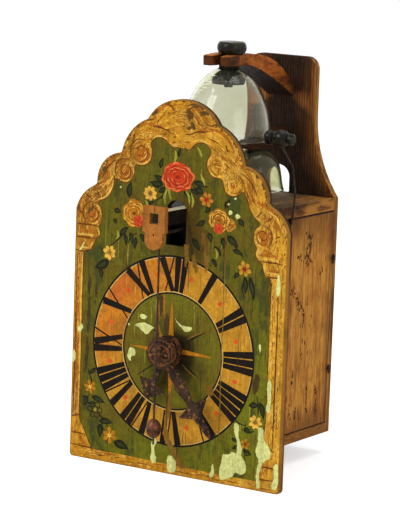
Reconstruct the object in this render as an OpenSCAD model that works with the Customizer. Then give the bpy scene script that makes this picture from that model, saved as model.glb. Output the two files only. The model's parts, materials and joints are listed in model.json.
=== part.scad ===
// A painted shield clock with a wooden movement and two glass bells.
// X runs to the right, Y to the back and Z up. Depths are counted from the dial's front face
// and heights from the dial's lower edge. The finished model is moved so that the middle
// of its box stands over the origin.

/* [Dial] */
// Width of the painted dial board
dial_w = 200; // [180:1:230]
// Thickness of the dial board
dial_t = 6; // [4:0.5:9]
// Height of the straight sides, up to the shoulders
dial_side_h = 198; // [190:1:215]
// Height of the top of the crest above the shoulders
dial_crest_h = 101.5; // [80:0.5:120]
// Width of the slot that the bridge comes through
slot_w = 18.5; // [17:0.5:24]
// Height of the lower end of the slot
slot_bottom = 184; // [176:1:188]
// Height of the top of the slot
slot_top = 220; // [218:1:226]
// Radius of the hole for the hour pipe
dial_hole_r = 6; // [5.2:0.1:9]

/* [Case] */
// Width of the case over its two doors
case_w = 108; // [104:1:130]
// Depth from the dial's back to the back board
case_d = 140; // [138:1:160]
// Height of the underside of the bottom board
case_bottom = 17.4; // [10:0.2:24]
// Thickness of the bottom board
bottom_t = 8; // [5:0.5:9]
// Height of the underside of the top board
case_top = 203.5; // [203.5:0.5:204.5]
// Thickness of the top board
top_t = 9.5; // [7:0.5:10.5]
// Thickness of the back board
back_t = 6.5; // [5:0.5:9]
// Thickness of the doors
door_t = 6; // [4:0.5:6.5]
// Gap round a door
door_gap = 0.5; // [0.3:0.1:1]
// Width of the notch in a door for a hammer wire
notch_w = 4; // [3.4:0.2:8]
// Depth of that notch from the door's top edge
notch_h = 14; // [12:0.5:18]
// Side of a square corner post
post_w = 10; // [7:0.5:11]
// Wire thickness of the door hinges
hinge_wire = 1.2; // [0.8:0.1:1.6]
// Height of a hinge eye
hinge_h = 4; // [3:0.5:8]
// Height of the lower hinge
hinge_low = 70; // [45:1:90]
// Height of the upper hinge
hinge_high = 162; // [140:1:180]

/* [Back board] */
// Height of the top of the back board
back_top = 326.5; // [322:0.5:345]
// Width of its neck
neck_w = 63; // [50:1:70]
// Radius of the neck's top corners
neck_corner = 10; // [4:1:20]
// Radius of the hollow flare under the neck
flare_r = 107; // [90:1:140]
// Width of the arched hanging hole
hang_w = 20.5; // [12:0.5:30]
// Height of the arch above the top board
hang_h = 23; // [18:0.5:30]

/* [Bars] */
// Width of the upright bars that hold the arbors
bar_w = 32; // [26:1:44]
// Thickness of the bars
bar_t = 8; // [6:0.5:9]
// Depth of the front face of the front bar
front_bar_y = 16; // [16:0.5:17]
// Depth of the front face of the middle bar
middle_bar_y = 72; // [70:0.5:72]
// Depth of the front face of the rear bar
rear_bar_y = 130; // [129:0.5:130]

/* [Movement] */
// Place of the movement left of the dial's middle
movement_x = -3; // [-4:0.5:0]
// Height of the centre arbor
centre_z = 100.5; // [98:0.5:102]
// Radius of a wooden arbor
arbor_r = 1.6; // [1.4:0.1:1.8]
// Radius of a pivot
pivot_r = 0.8; // [0.6:0.05:1]
// Gap between a pivot and its hole
pivot_gap = 0.05; // [0.02:0.01:0.08]
// Thickness of the large wheels
wheel_t = 4; // [3:0.25:4.5]
// Thickness of the small wheels
thin_wheel_t = 3; // [2:0.25:3.5]
// Radius of a pulley groove
pulley_r = 11; // [8:0.5:14]
// Radius of a wire trundle in a lantern pinion
trundle_r = 0.42; // [0.3:0.02:0.46]

/* [Hands] */
// Length of the hour hand from its centre
hour_l = 44.5; // [40:0.5:55]
// Length of the minute hand from its centre
minute_l = 79; // [70:0.5:90]
// Thickness of a hand's blade
blade_t = 2.4; // [1.6:0.1:2.6]
// Radius of the hubs
hub_r = 13; // [9:0.5:14]
// Where the hour hand points, in degrees past twelve
hour_angle = 205; // [0:1:359]
// Where the minute hand points, in degrees past twelve
minute_angle = 142; // [0:1:359]

/* [Pendulum] */
// Height of the verge
verge_z = 196; // [195.5:0.5:196.5]
// Depth of the pendulum in front of the dial
pendulum_y = -23; // [-24:0.25:-23]
// Length from the verge to the middle of the bob
pendulum_l = 155; // [140:1:165]
// Thickness of the pendulum wire
pendulum_wire_d = 1.6; // [1.2:0.1:2]
// Width of the bob
bob_w = 12; // [8:0.5:12.4]
// Height of the bob
bob_h = 15.6; // [11:0.2:20]
// Depth of the front face of the bridge
bridge_front = -32; // [-34:0.5:-31]
// Thickness of the bridge plate
plate_t = 4.5; // [3:0.5:5]

/* [Bells] */
// Rim radius of the large glass bell
big_rim_r = 35.3; // [30:0.1:37]
// Height of its rim
big_rim_z = 263.5; // [262:0.5:268]
// Height from its rim to its top
big_bell_h = 56.5; // [52:0.5:57]
// Depth of its axis
big_bell_y = 66; // [64:0.5:70]
// Thickness of the glass
glass_t = 1.6; // [1.2:0.1:2.2]
// Rim radius of the small glass bell
small_rim_r = 27.3; // [22:0.1:29]
// Height of its rim
small_rim_z = 219.6; // [217:0.2:222]
// Height from its rim to its top
small_bell_h = 32.4; // [28:0.2:33]
// Depth of its axis
small_bell_y = 103; // [101:0.5:106]
// Radius of the knob over the large bell
knob_r = 11.8; // [8:0.2:14]
// Thickness of the knob
knob_h = 10; // [6:0.5:11]
// Thickness of a stem
stem_d = 7; // [5:0.2:8]

/* [Hammers] */
// Height of the hammer arbors
hammer_z = 185; // [180:0.5:186]
// Thickness of the hammer wire
hammer_wire_d = 1.6; // [1.2:0.1:2]
// Length of the large hammer's head
head_l = 26; // [18:0.5:30]
// Thickness of the large hammer's head
head_d = 14; // [9:0.5:16]
// Gap between a resting hammer and its bell
strike_gap = 2.5; // [1:0.1:4]

/* [Hidden] */

round_fn = 64;
small_fn = 32;

// Case, worked out from the driving sizes
case_x = case_w / 2;
count_room = 8;
back_y = max(dial_t + case_d, rear_bar_y + bar_t + count_room);
case_deep = back_y - dial_t;
rear_y = back_y + back_t;
floor_z = case_bottom + bottom_t;
lid_z = case_top + top_t;
door_x = case_x - door_t;
door_z0 = floor_z + door_gap;
door_z1 = case_top - door_gap;
door_y0 = dial_t + door_gap;
door_y1 = back_y - door_gap;
hinge_eye_r = 1.5;
hinge_x = case_x + hinge_eye_r + 0.3;
hinge_tail = 7;
rope_hole_r = 4;
nail_w = 1.8;
nail_in = 12;
nail_far = 40;
nail_near = 14;
post_x = door_x - 0.5 - post_w / 2;
post_front_y = front_bar_y + post_w / 2;
post_rear_y = rear_bar_y + bar_t - post_w / 2;
middle_depth = (bridge_front + rear_y) / 2;

// Wheel work
module_great = 0.9;
module_centre = 0.8;
module_contrate = 0.75;
module_strike = 0.85;
module_warning = 0.8;
module_motion = 0.8;
module_hour = 0.768;
module_count = 0.8;
great_n = 72;
centre_pinion_n = 8;
centre_n = 66;
leaf_n = 6;
contrate_n = 60;
crown_n = 41;
cannon_n = 12;
motion_n = 36;
motion_pinion_n = 10;
hour_n = 40;
strike_great_n = 78;
hoop_n = 54;
warning_n = 48;
count_n = 60;
count_pinion_n = 10;
pin_n = 13;
great_z = centre_z - module_great * (great_n + centre_pinion_n) / 2;
contrate_z = centre_z + module_centre * (centre_n + leaf_n) / 2;
contrate_r = module_contrate * contrate_n / 2;
leaf_r = module_contrate * leaf_n / 2;
motion_z = centre_z + module_motion * (cannon_n + motion_n) / 2;
strike_z = centre_z - module_strike * (strike_great_n + leaf_n) / 2;
warning_z = centre_z + module_strike * (hoop_n + leaf_n) / 2;
fly_z = warning_z + module_warning * (warning_n + leaf_n) / 2;
count_z = strike_z + module_count * (count_n + count_pinion_n) / 2;

// Depths of the wheels in the two bays
bay1_y = front_bar_y + bar_t;
bay2_y = middle_bar_y + bar_t;
bay1_d = middle_bar_y - bay1_y;
bay2_d = rear_bar_y - bay2_y;
great_y = bay1_y + 4;
crown_y = bay1_y + bay1_d / 2;
contrate_y = crown_y + leaf_r;
centre_y = middle_bar_y - 11;
strike_y = bay2_y + 4;
hoop_y = bay2_y + 0.64 * bay2_d;
warning_y = bay2_y + 0.48 * bay2_d;
fly_y = bay2_y + 4;
fly_l = warning_y - fly_y - 4;
fly_r = 17.5;
count_y = rear_bar_y + bar_t + 1.5;
pin_circle_r = 28;
quarter_circle_r = 22;
pin_r = 0.8;

// Crown wheel and verge
crown_r = 14;
crown_tip_z = verge_z - 3.1;
crown_rim_h = 6;
crown_arbor_r = 1;
pallet_l = 3.1;
potence_w = 8;
potence_t = 5;
potence_low_z = contrate_z + contrate_r - 10.6;
potence_high_z = hammer_z - 13;
verge_r = 1.2;

// Hands, from the dial outwards
hour_hub_y = -10;
hour_hub_t = 6;
minute_hub_y = -18;
minute_hub_t = 5.5;
cannon_r = 2.6;
pipe_r = 4.2;
motion_y = dial_t + 1;

// Bridge
bridge_x0 = movement_x;
bridge_x1 = movement_x + slot_w / 2;
bridge_top = case_top + 11.3;
bridge_rear = dial_t + 24;
plate_w = 20.6;
plate_z0 = 198;
plate_z1 = 218.2;
lobe_w = 16.4;
lobe_z = 184.2;
square_w = 8.4;
square_z = 208.7;

// Bells and hammers
big_bell_x = -1.5;
small_bell_x = 0;
lever_x = post_x;
hammer_y = 77.5;
quarter_y = small_bell_y;
hammer_arbor_r = 2;
hammer_arbor_l = post_rear_y + post_w / 2 - front_bar_y - 2;
head_z = big_rim_z + 5;
quarter_head_z = small_rim_z + 5.4;
quarter_head_l = 20;
quarter_head_d = 10;
hammer_x0 = big_bell_x + big_rim_r + strike_gap;
quarter_x0 = small_bell_x - small_rim_r + 2.2 - strike_gap;
lift_z = 150;
lock_z = 112;
lever_r = 2;
arm_t = 2;
lift_tip = [-19.5, 131.5];
warn_tip = [-24.5, 139];
count_tip = [-25.5, 109.5];
hoop_tip = [-29, 108];
tail_tip = [movement_x + 15.5, strike_z + 26.9];
quarter_tail_tip = [movement_x - 14.7, centre_z + 20.3];
stem_r = stem_d / 2;
small_stem_r = 2;
leather_t = 2.4;
bell_arm_under_z = big_rim_z + big_bell_h + leather_t;
bell_arm_top_z = bell_arm_under_z + 9.7;
bell_arm_front = 47;
arm_crown_y = 72;
arm_fall = 18.3;
arm_curl = 11.7;
arm_low_fall = 31;
bell_arm_w = 26;
bell_arm_slot = 6.2;
knob_z = bell_arm_top_z - 0.4;
knob_off = 2.2;
knob_stem_l = 27;
small_arm_z = small_rim_z + small_bell_h + 0.8;

// Moves the whole clock so that its box is centred over the origin
module placed() {
    translate([0, -middle_depth, 0]) children();
}

// Turns a flat outline in X and Z into a board that runs back from depth y
module upright(y, t) {
    translate([0, y + t, 0]) rotate([90, 0, 0]) linear_extrude(t) children();
}

// A round bar along Y
module rod_y(x, y, z, r, l, fn = small_fn) {
    translate([x, y, z]) rotate([-90, 0, 0]) cylinder(r = r, h = l, $fn = fn);
}

// A wire through a list of points, a little thicker at its bends
module bent_wire(points, d) {
    for (i = [0 : len(points) - 2]) {
        a = points[i];
        b = points[i + 1];
        v = b - a;
        l = norm(v);
        translate(a)
            rotate([0, acos(v[2] / l), atan2(v[1], v[0])])
            cylinder(d = d, h = l, $fn = small_fn);
        if (i > 0) translate(a) sphere(d = 1.06 * d, $fn = small_fn);
    }
}

// Outline of a toothed wheel whose first gap points along +Y
function tooth_points(n, m) = let (
        step = 360 / n,
        r = m * n / 2,
        root = r - 0.85 * m,
        tip = r + 0.6 * m)
    [for (i = [0 : n - 1]) for (p = [[root, -0.22], [tip, -0.10], [tip, 0.10], [root, 0.22]])
        let (a = 90 + (i + 0.5 + p[1]) * step) [p[0] * cos(a), p[0] * sin(a)]];

// A crossed-out wheel in the XZ plane, with spokes and a bored hub
module wheel(x, z, y, t, n, m, hub, bore, spokes = 4) {
    rim = m * n / 2 - 0.85 * m - 3.2;
    translate([x, y + t, z]) rotate([90, 0, 0]) linear_extrude(t) difference() {
        polygon(tooth_points(n, m));
        circle(r = bore, $fn = round_fn);
        difference() {
            circle(r = rim, $fn = round_fn);
            circle(r = hub, $fn = round_fn);
            for (i = [0 : spokes - 1]) rotate(i * 360 / spokes + 45)
                translate([0, -1.8]) square([rim + 1, 3.6]);
        }
    }
}

// A small solid pinion with a bore
module leaf_pinion(x, z, y, t, n, m, bore) {
    translate([x, y + t, z]) rotate([90, 180 / n, 0]) linear_extrude(t) difference() {
        polygon(tooth_points(n, m));
        circle(r = bore, $fn = round_fn);
    }
}

// A lantern pinion along Y: two shrouds and wire trundles, one of them straight down
module lantern(x, z, y, l, n, r) {
    for (s = [y - 1.2, y + l]) rod_y(x, s, z, r + trundle_r + 0.5, 1.2);
    for (i = [0 : n - 1])
        rod_y(x + r * cos(i * 360 / n - 90), y - 0.6, z + r * sin(i * 360 / n - 90),
            trundle_r, l + 1.2, 16);
}

// An arbor along Y with a thinner pivot at each end
module arbor(x, z, y0, y1, p0, p1) {
    rod_y(x, y0, z, arbor_r, y1 - y0);
    rod_y(x, y0 - p0, z, pivot_r, p0 + p1 + y1 - y0);
}

// A pivot hole through a bar
module pivot_hole(z, y) {
    rod_y(movement_x, y - 1, z, pivot_r + pivot_gap, bar_t + 2);
}

// A pivot hole that reaches almost to the middle of a bar
module blind_hole(z, y) {
    rod_y(movement_x, y, z, pivot_r + pivot_gap, bar_t / 2 + 0.7);
}

module back_board() {
    arc_cx = neck_w / 2 + flare_r;
    drop = sqrt(flare_r * flare_r - pow(arc_cx - case_x, 2));
    flare_z = lid_z + drop;
    arc_end = acos((arc_cx - case_x) / flare_r);
    side = [for (a = [0 : 5 : 40]) if (a < arc_end)
        [arc_cx - flare_r * cos(a), flare_z - flare_r * sin(a)]];
    corner = [for (a = [0 : 15 : 90])
        [neck_w / 2 - neck_corner + neck_corner * cos(a),
            back_top - neck_corner + neck_corner * sin(a)]];
    half = concat([[case_x, case_bottom], [case_x, lid_z]],
        [for (i = [len(side) - 1 : -1 : 0]) side[i]], corner);
    outline = concat(half, [for (i = [len(half) - 1 : -1 : 0]) [-half[i][0], half[i][1]]]);
    color("saddlebrown") difference() {
        upright(back_y, back_t) difference() {
            polygon(outline);
            translate([0, lid_z + hang_h - hang_w / 2]) circle(d = hang_w, $fn = round_fn);
            translate([-hang_w / 2, lid_z]) square([hang_w, hang_h - hang_w / 2]);
        }
        hinge_pin_shapes();
    }
}

module top_board() {
    color("peru") difference() {
        translate([-case_x, dial_t, case_top]) cube([case_w, case_deep, top_t]);
        translate([bridge_x0, dial_t - 1, case_top - 1])
            cube([bridge_x1 - bridge_x0, bridge_rear - dial_t + 1, top_t + 2]);
    }
}

// Two rope holes under each pulley
module bottom_board() {
    color("peru") difference() {
        translate([-case_x, dial_t, case_bottom]) cube([case_w, case_deep, bottom_t]);
        for (y = [great_y + wheel_t + 7, strike_y + wheel_t + 11]) for (s = [-1, 1])
            translate([movement_x + s * pulley_r, y, case_bottom - 1])
                cylinder(r = rope_hole_r, h = bottom_t + 2, $fn = round_fn);
    }
}

// Square posts in the corners, bored for the levers and the hammer arbors
module corner_posts() {
    color("burlywood") for (s = [-1, 1]) for (y = [post_front_y, post_rear_y])
        difference() {
            translate([s * post_x - post_w / 2, y - post_w / 2, floor_z])
                cube([post_w, post_w, case_top - floor_z]);
            if (s < 0) for (z = [lift_z, lock_z])
                rod_y(-lever_x, y - post_w, z, lever_r + pivot_gap, 2 * post_w);
            rod_y(s * lever_x, y - post_w, hammer_z, hammer_arbor_r + pivot_gap, 2 * post_w);
        }
}

module bar_block(y) {
    translate([movement_x - bar_w / 2, y, floor_z]) cube([bar_w, bar_t, case_top - floor_z]);
}

module front_bar() {
    color("burlywood") difference() {
        bar_block(front_bar_y);
        for (z = [great_z, contrate_z]) pivot_hole(z, front_bar_y);
        rod_y(movement_x, front_bar_y - 1, centre_z, arbor_r + pivot_gap, bar_t + 2);
        rod_y(movement_x, front_bar_y - 1, verge_z, 3, bar_t + 2);
        stud_shapes();
        potence_shapes();
    }
}

module middle_bar() {
    color("burlywood") difference() {
        bar_block(middle_bar_y);
        for (z = [great_z, centre_z, contrate_z, verge_z]) blind_hole(z, middle_bar_y - 1);
        for (z = [strike_z, centre_z, warning_z, fly_z]) blind_hole(z, middle_bar_y + bar_t / 2 + 0.3);
    }
}

module rear_bar() {
    color("burlywood") difference() {
        bar_block(rear_bar_y);
        for (z = [centre_z, warning_z, fly_z]) pivot_hole(z, rear_bar_y);
        rod_y(movement_x, rear_bar_y - 1, strike_z, arbor_r + pivot_gap, bar_t + 2);
        stud_shapes();
    }
}

// A door with its notch at depth ny; side is 1 on the right and -1 on the left
module door(side, ny) {
    difference() {
        translate([side > 0 ? door_x : -case_x, door_y0, door_z0])
            cube([door_t, door_y1 - door_y0, door_z1 - door_z0]);
        translate([side > 0 ? door_x - 1 : -case_x - 1, ny - notch_w / 2, door_z1 - notch_h])
            cube([door_t + 2, notch_w, notch_h + 1]);
        hinge_eye_tails(side);
    }
}

module left_door() {
    color("goldenrod") door(-1, quarter_y);
}

module right_door() {
    color("goldenrod") door(1, hammer_y);
}

// One fixed pin per hinge, bent at its foot into the back board's edge
module hinge_pin_shapes() {
    for (s = [-1, 1]) for (z = [hinge_low, hinge_high]) {
        translate([s * hinge_x, back_y, z - 2])
            cylinder(d = hinge_wire, h = hinge_h + 3, $fn = small_fn);
        translate([s * hinge_x, back_y, z - 2]) sphere(d = hinge_wire, $fn = small_fn);
        translate([s * hinge_x, back_y, z - 2]) rotate([0, 90, s > 0 ? 135 : 45])
            cylinder(d = hinge_wire, h = hinge_tail, $fn = small_fn);
    }
}

module hinge_pins() {
    color("dimgray") hinge_pin_shapes();
}

module hinge_eye_tails(s) {
    for (z = [hinge_low, hinge_high])
        translate([s * hinge_x, back_y, z + hinge_h / 2])
            rotate([0, 90, s > 0 ? 225 : -45]) translate([0, 0, hinge_wire])
            cylinder(d = hinge_wire, h = hinge_tail, $fn = small_fn);
}

// The eyes that turn on the pins, with their tails in the door
module hinge_eyes(s) {
    color("dimgray") difference() {
        union() {
            for (z = [hinge_low, hinge_high]) translate([s * hinge_x, back_y, z])
                cylinder(r = hinge_eye_r, h = hinge_h, $fn = small_fn);
            hinge_eye_tails(s);
        }
        for (z = [hinge_low, hinge_high]) translate([s * hinge_x, back_y, z - 1])
            cylinder(r = hinge_wire / 2 + pivot_gap, h = hinge_h + 2, $fn = small_fn);
    }
}

module left_hinge_eyes() {
    hinge_eyes(-1);
}

module right_hinge_eyes() {
    hinge_eyes(1);
}

// Square nails, flush with the back board, into the ends of the two boards
module case_nails() {
    levels = [case_bottom + bottom_t / 2, case_top + top_t / 2];
    color("dimgray") for (x = [-nail_far, -nail_near, nail_near, nail_far]) for (z = levels)
        translate([x - nail_w / 2, back_y - nail_in, z - nail_w / 2])
            cube([nail_w, nail_in + back_t, nail_w]);
}

// One lobe of the dial's edge: an arc from angle a0 to a1, its sizes given as shares of w and h
function lobe(cx, cz, rx, rz, a0, a1, w, s, h) = let (n = ceil((a1 - a0) / 9))
    [for (i = [0 : n]) let (a = a0 + (a1 - a0) * i / n)
        [w * (cx + rx * cos(a)), s + h * (cz + rz * sin(a))]];

// Half of the dial's lobed outline, from the lower corner up to the crest
function dial_half() = let (w = dial_w / 2, s = dial_side_h, h = dial_crest_h)
    concat(
        [for (a = [-90 : 30 : 0]) [w - 3 + 3 * cos(a), 3 + 3 * sin(a)]],
        lobe(0.708, -0.019, 0.302, 0.2975, 15, 67, w, s, h),
        lobe(0.553, 0.294, 0.249, 0.245, -4, 84, w, s, h),
        lobe(0.196, 0.471, 0.383, 0.377, 12, 70, w, s, h),
        lobe(0, 0.714, 0.355, 0.286, 25, 90, w, s, h));

module dial_board() {
    half = dial_half();
    color("olivedrab") upright(0, dial_t) difference() {
        polygon(concat(half, [for (i = [len(half) - 1 : -1 : 0]) [-half[i][0], half[i][1]]]));
        translate([movement_x, centre_z]) circle(r = dial_hole_r, $fn = round_fn);
        translate([movement_x - slot_w / 2, slot_bottom])
            square([slot_w, slot_top - slot_bottom - slot_w / 4]);
        translate([movement_x, slot_top - slot_w / 2]) circle(d = slot_w, $fn = round_fn);
    }
}

module bridge_arm() {
    color("peru") difference() {
        translate([bridge_x0, bridge_front + plate_t, case_top])
            cube([bridge_x1 - bridge_x0, bridge_rear - bridge_front - plate_t, bridge_top - case_top]);
        translate([movement_x - square_w / 2, bridge_front, square_z - square_w / 2])
            cube([square_w, plate_t + 12, square_w]);
    }
}

module bridge_plate() {
    color("orange") difference() {
        upright(bridge_front, plate_t) union() {
            translate([movement_x - plate_w / 2, plate_z0]) square([plate_w, plate_z1 - plate_z0]);
            translate([movement_x - lobe_w / 2, lobe_z + lobe_w / 2 - 1])
                square([lobe_w, plate_z0 - lobe_z - lobe_w / 2 + 2]);
            translate([movement_x, lobe_z + lobe_w / 2]) circle(d = lobe_w, $fn = round_fn);
        }
        translate([movement_x - square_w / 2, bridge_front - 1, square_z - square_w / 2])
            cube([square_w, plate_t + 2, square_w]);
        rod_y(movement_x, bridge_front - 1, verge_z, pivot_r + pivot_gap, plate_t + 2);
    }
}

// Studs for the motion wheel on the front bar and the count wheel on the rear bar
module stud_shapes() {
    rod_y(movement_x, motion_y, motion_z, arbor_r, front_bar_y + 5 - motion_y);
    rod_y(movement_x, rear_bar_y + 3, count_z, arbor_r, count_y + thin_wheel_t + 0.4 - rear_bar_y - 3);
}

module wheel_studs() {
    color("dimgray") stud_shapes();
}

// Brackets on the front bar for the upright crown arbor
module potence_shapes() {
    for (z = [potence_low_z, potence_high_z])
        translate([movement_x - potence_w / 2, bay1_y - 4, z])
            cube([potence_w, crown_y - bay1_y + 7.2, potence_t]);
}

module crown_potences() {
    color("burlywood") difference() {
        potence_shapes();
        translate([movement_x, crown_y, contrate_z])
            cylinder(r = pivot_r + pivot_gap, h = 60, $fn = small_fn);
        translate([movement_x, crown_y, contrate_z + contrate_r + 4])
            cylinder(r = crown_arbor_r + pivot_gap, h = 60, $fn = small_fn);
    }
}

module going_great_arbor() {
    color("tan") arbor(movement_x, great_z, bay1_y + 0.5, middle_bar_y - 0.5, bar_t - 1, bar_t / 2 - 0.5);
}

module going_great_wheel() {
    color("sienna")
        wheel(movement_x, great_z, great_y, wheel_t, great_n, module_great, 9, arbor_r);
}

// A grooved pulley for the weight's rope
module pulley(z, y) {
    translate([movement_x, y, z]) rotate([-90, 0, 0]) rotate_extrude($fn = round_fn)
        polygon([[arbor_r, 0], [pulley_r + 2, 0], [pulley_r + 2, 1.5], [pulley_r - 1, 4.5],
            [pulley_r - 1, 7.5], [pulley_r + 2, 10.5], [pulley_r + 2, 12], [arbor_r, 12]]);
}

module going_pulley() {
    color("sienna") pulley(great_z, great_y + wheel_t + 1);
}

module centre_arbor() {
    color("tan") union() {
        rod_y(movement_x, minute_hub_y, centre_z, arbor_r, middle_bar_y - 0.5 - minute_hub_y);
        rod_y(movement_x, middle_bar_y - 2, centre_z, pivot_r, bar_t / 2 + 1.5);
        lantern(movement_x, centre_z, great_y - 0.5, wheel_t + 1, centre_pinion_n,
            module_great * centre_pinion_n / 2);
    }
}

// The centre wheel carries four pegs for the quarter hammer
module centre_wheel() {
    color("sienna") union() {
        wheel(movement_x, centre_z, centre_y, thin_wheel_t, centre_n, module_centre, 7, arbor_r);
        for (i = [0 : 3]) rod_y(movement_x + quarter_circle_r * cos(i * 90),
            centre_y + thin_wheel_t - 1, centre_z + quarter_circle_r * sin(i * 90), pin_r, 4, 16);
    }
}

module contrate_arbor() {
    color("tan") union() {
        arbor(movement_x, contrate_z, bay1_y + 0.5, middle_bar_y - 0.5, bar_t - 1, bar_t / 2 - 0.5);
        lantern(movement_x, contrate_z, centre_y - 0.5, thin_wheel_t + 1, leaf_n,
            module_centre * leaf_n / 2);
    }
}

// A face wheel whose teeth point to the front, with a gap at the top
module contrate_wheel() {
    tip_y = contrate_y - 0.5;
    root_y = contrate_y + 0.75;
    gap = contrate_r * 2 * PI / contrate_n * 0.64;
    color("sienna") translate([movement_x, 0, contrate_z]) union() {
        translate([0, root_y, 0]) rotate([90, 0, 0]) linear_extrude(root_y - tip_y) difference() {
            circle(r = contrate_r + 1.8, $fn = round_fn);
            circle(r = contrate_r - 1.8, $fn = round_fn);
            for (i = [0 : contrate_n - 1]) rotate(90 + i * 360 / contrate_n)
                translate([contrate_r - 3, -gap / 2]) square([6, gap]);
        }
        translate([0, root_y + 3.4, 0]) rotate([90, 0, 0]) linear_extrude(3.4) difference() {
            circle(r = contrate_r + 1.8, $fn = round_fn);
            circle(r = contrate_r - 1.8, $fn = round_fn);
        }
        translate([0, root_y + 3.4, 0]) rotate([90, 0, 0]) linear_extrude(2) difference() {
            circle(r = contrate_r - 1, $fn = round_fn);
            circle(r = arbor_r, $fn = round_fn);
            for (i = [0 : 3]) rotate(i * 90) translate([1.8, 1.8]) intersection() {
                square(contrate_r);
                translate([-1.8, -1.8]) difference() {
                    circle(r = contrate_r - 2.5, $fn = round_fn);
                    circle(r = 6, $fn = round_fn);
                }
            }
        }
    }
}

module crown_arbor() {
    low = contrate_z + contrate_r - 2.5;
    color("dimgray") translate([movement_x, crown_y, 0]) union() {
        translate([0, 0, low - 1.6])
            cylinder(r = crown_arbor_r, h = crown_tip_z - crown_rim_h + 1.5 - low + 1.6, $fn = small_fn);
        translate([0, 0, low - 7]) cylinder(r = pivot_r, h = 8, $fn = small_fn);
        for (z = [low - 1.2, low + 5]) translate([0, 0, z])
            cylinder(r = leaf_r + trundle_r + 0.3, h = 1.2, $fn = small_fn);
        for (i = [0 : leaf_n - 1]) rotate(90 + i * 360 / leaf_n)
            translate([leaf_r, 0, low - 0.6]) cylinder(r = trundle_r, h = 6.2, $fn = 16);
    }
}

// The escape wheel: a thin cup with saw teeth round its upper edge
module crown_wheel() {
    step = 360 / crown_n;
    base = crown_tip_z - crown_rim_h;
    color("sienna") translate([movement_x, crown_y, 0]) union() {
        translate([0, 0, base]) linear_extrude(crown_rim_h - 2) difference() {
            circle(r = crown_r + 0.5, $fn = round_fn);
            circle(r = crown_r - 0.7, $fn = round_fn);
        }
        translate([0, 0, base + crown_rim_h - 2]) linear_extrude(2) difference() {
            circle(r = crown_r + 0.5, $fn = round_fn);
            circle(r = crown_r - 0.7, $fn = round_fn);
            for (i = [0 : crown_n - 1]) rotate(i * step) translate([crown_r - 2, -0.65]) square([4, 1.3]);
        }
        translate([0, 0, base]) linear_extrude(1.5) difference() {
            circle(r = crown_r - 0.3, $fn = round_fn);
            circle(r = crown_arbor_r, $fn = round_fn);
            for (i = [0 : 2]) rotate(i * 120) translate([8, 0]) circle(r = 4, $fn = small_fn);
        }
    }
}

module cannon_pinion() {
    color("darkgoldenrod") difference() {
        union() {
            rod_y(movement_x, minute_hub_y + minute_hub_t - 0.5, centre_z, cannon_r,
                motion_y + 8 - minute_hub_y - minute_hub_t + 0.5);
            leaf_pinion(movement_x, centre_z, motion_y + 4.2, 3.6, cannon_n, module_motion, cannon_r - 0.3);
        }
        rod_y(movement_x, minute_hub_y, centre_z, arbor_r, 60);
    }
}

// The minute wheel and its pinion turn together on a stud
module motion_wheel() {
    color("sienna") difference() {
        union() {
            translate([movement_x, motion_y + 7.2, motion_z]) rotate([90, 180, 0]) linear_extrude(2.6)
                polygon(tooth_points(motion_n, module_motion));
            translate([movement_x, motion_y + 4.8, motion_z]) rotate([90, 180 + 180 / motion_pinion_n, 0])
                linear_extrude(4.6) polygon(tooth_points(motion_pinion_n, module_hour));
        }
        rod_y(movement_x, motion_y - 1, motion_z, arbor_r + pivot_gap, 12);
    }
}

module hour_wheel() {
    color("sienna") difference() {
        union() {
            translate([movement_x, motion_y + 3.2, centre_z]) rotate([90, 0, 0]) linear_extrude(2.8)
                polygon(tooth_points(hour_n, module_hour));
            rod_y(movement_x, hour_hub_y + 0.4, centre_z, pipe_r, motion_y + 3.2 - hour_hub_y - 0.4);
        }
        rod_y(movement_x, hour_hub_y - 1, centre_z, cannon_r + pivot_gap, 30);
    }
}

// A blade's outline from one flank, given as widths along its length
module blade(flank) {
    polygon(concat([for (p = flank) [p[0], p[1]]],
        [for (i = [len(flank) - 1 : -1 : 0]) [-flank[i][0], flank[i][1]]]));
}

module hour_hand() {
    l = hour_l;
    color("saddlebrown") translate([movement_x, 0, centre_z]) rotate([0, hour_angle, 0]) difference() {
        union() {
            rod_y(0, hour_hub_y, 0, hub_r, hour_hub_t, round_fn);
            upright(hour_hub_y + 1.6, blade_t)
                blade([[3.4, 5], [2.8, l - 20], [3.6, l - 15.5], [13.4, l - 13], [12, l - 10.8], [1.2, l]]);
        }
        rod_y(0, hour_hub_y - 1, 0, pipe_r, 12);
    }
}

module minute_hand() {
    l = minute_l;
    color("saddlebrown") translate([movement_x, 0, centre_z]) rotate([0, minute_angle, 0]) difference() {
        union() {
            rod_y(0, minute_hub_y, 0, hub_r, minute_hub_t, round_fn);
            upright(minute_hub_y + 1.6, blade_t)
                blade([[4, 5], [3.4, 16], [5.8, 27], [5.8, 33], [3.2, l - 35], [3.6, l - 31.5],
                    [15.5, l - 29.5], [14.8, l - 27.5], [5, l - 20.5], [3.6, l - 13],
                    [2.6, l - 5], [0.8, l]]);
        }
        rod_y(0, minute_hub_y - 1, 0, arbor_r, 12);
        rod_y(0, minute_hub_y + minute_hub_t - 0.5, 0, cannon_r, 2);
    }
}

// The pin that holds the hands on the end of the centre arbor
module hand_pin() {
    color("dimgray") translate([movement_x, 0, centre_z]) rotate([0, 20, 0]) union() {
        translate([-2.4, minute_hub_y - 1.8, -2.4]) cube([4.8, 1.8, 4.8]);
        translate([-0.7, minute_hub_y - 1.7, -4.6]) cube([1.4, 1.4, 9.2]);
    }
}

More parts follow.
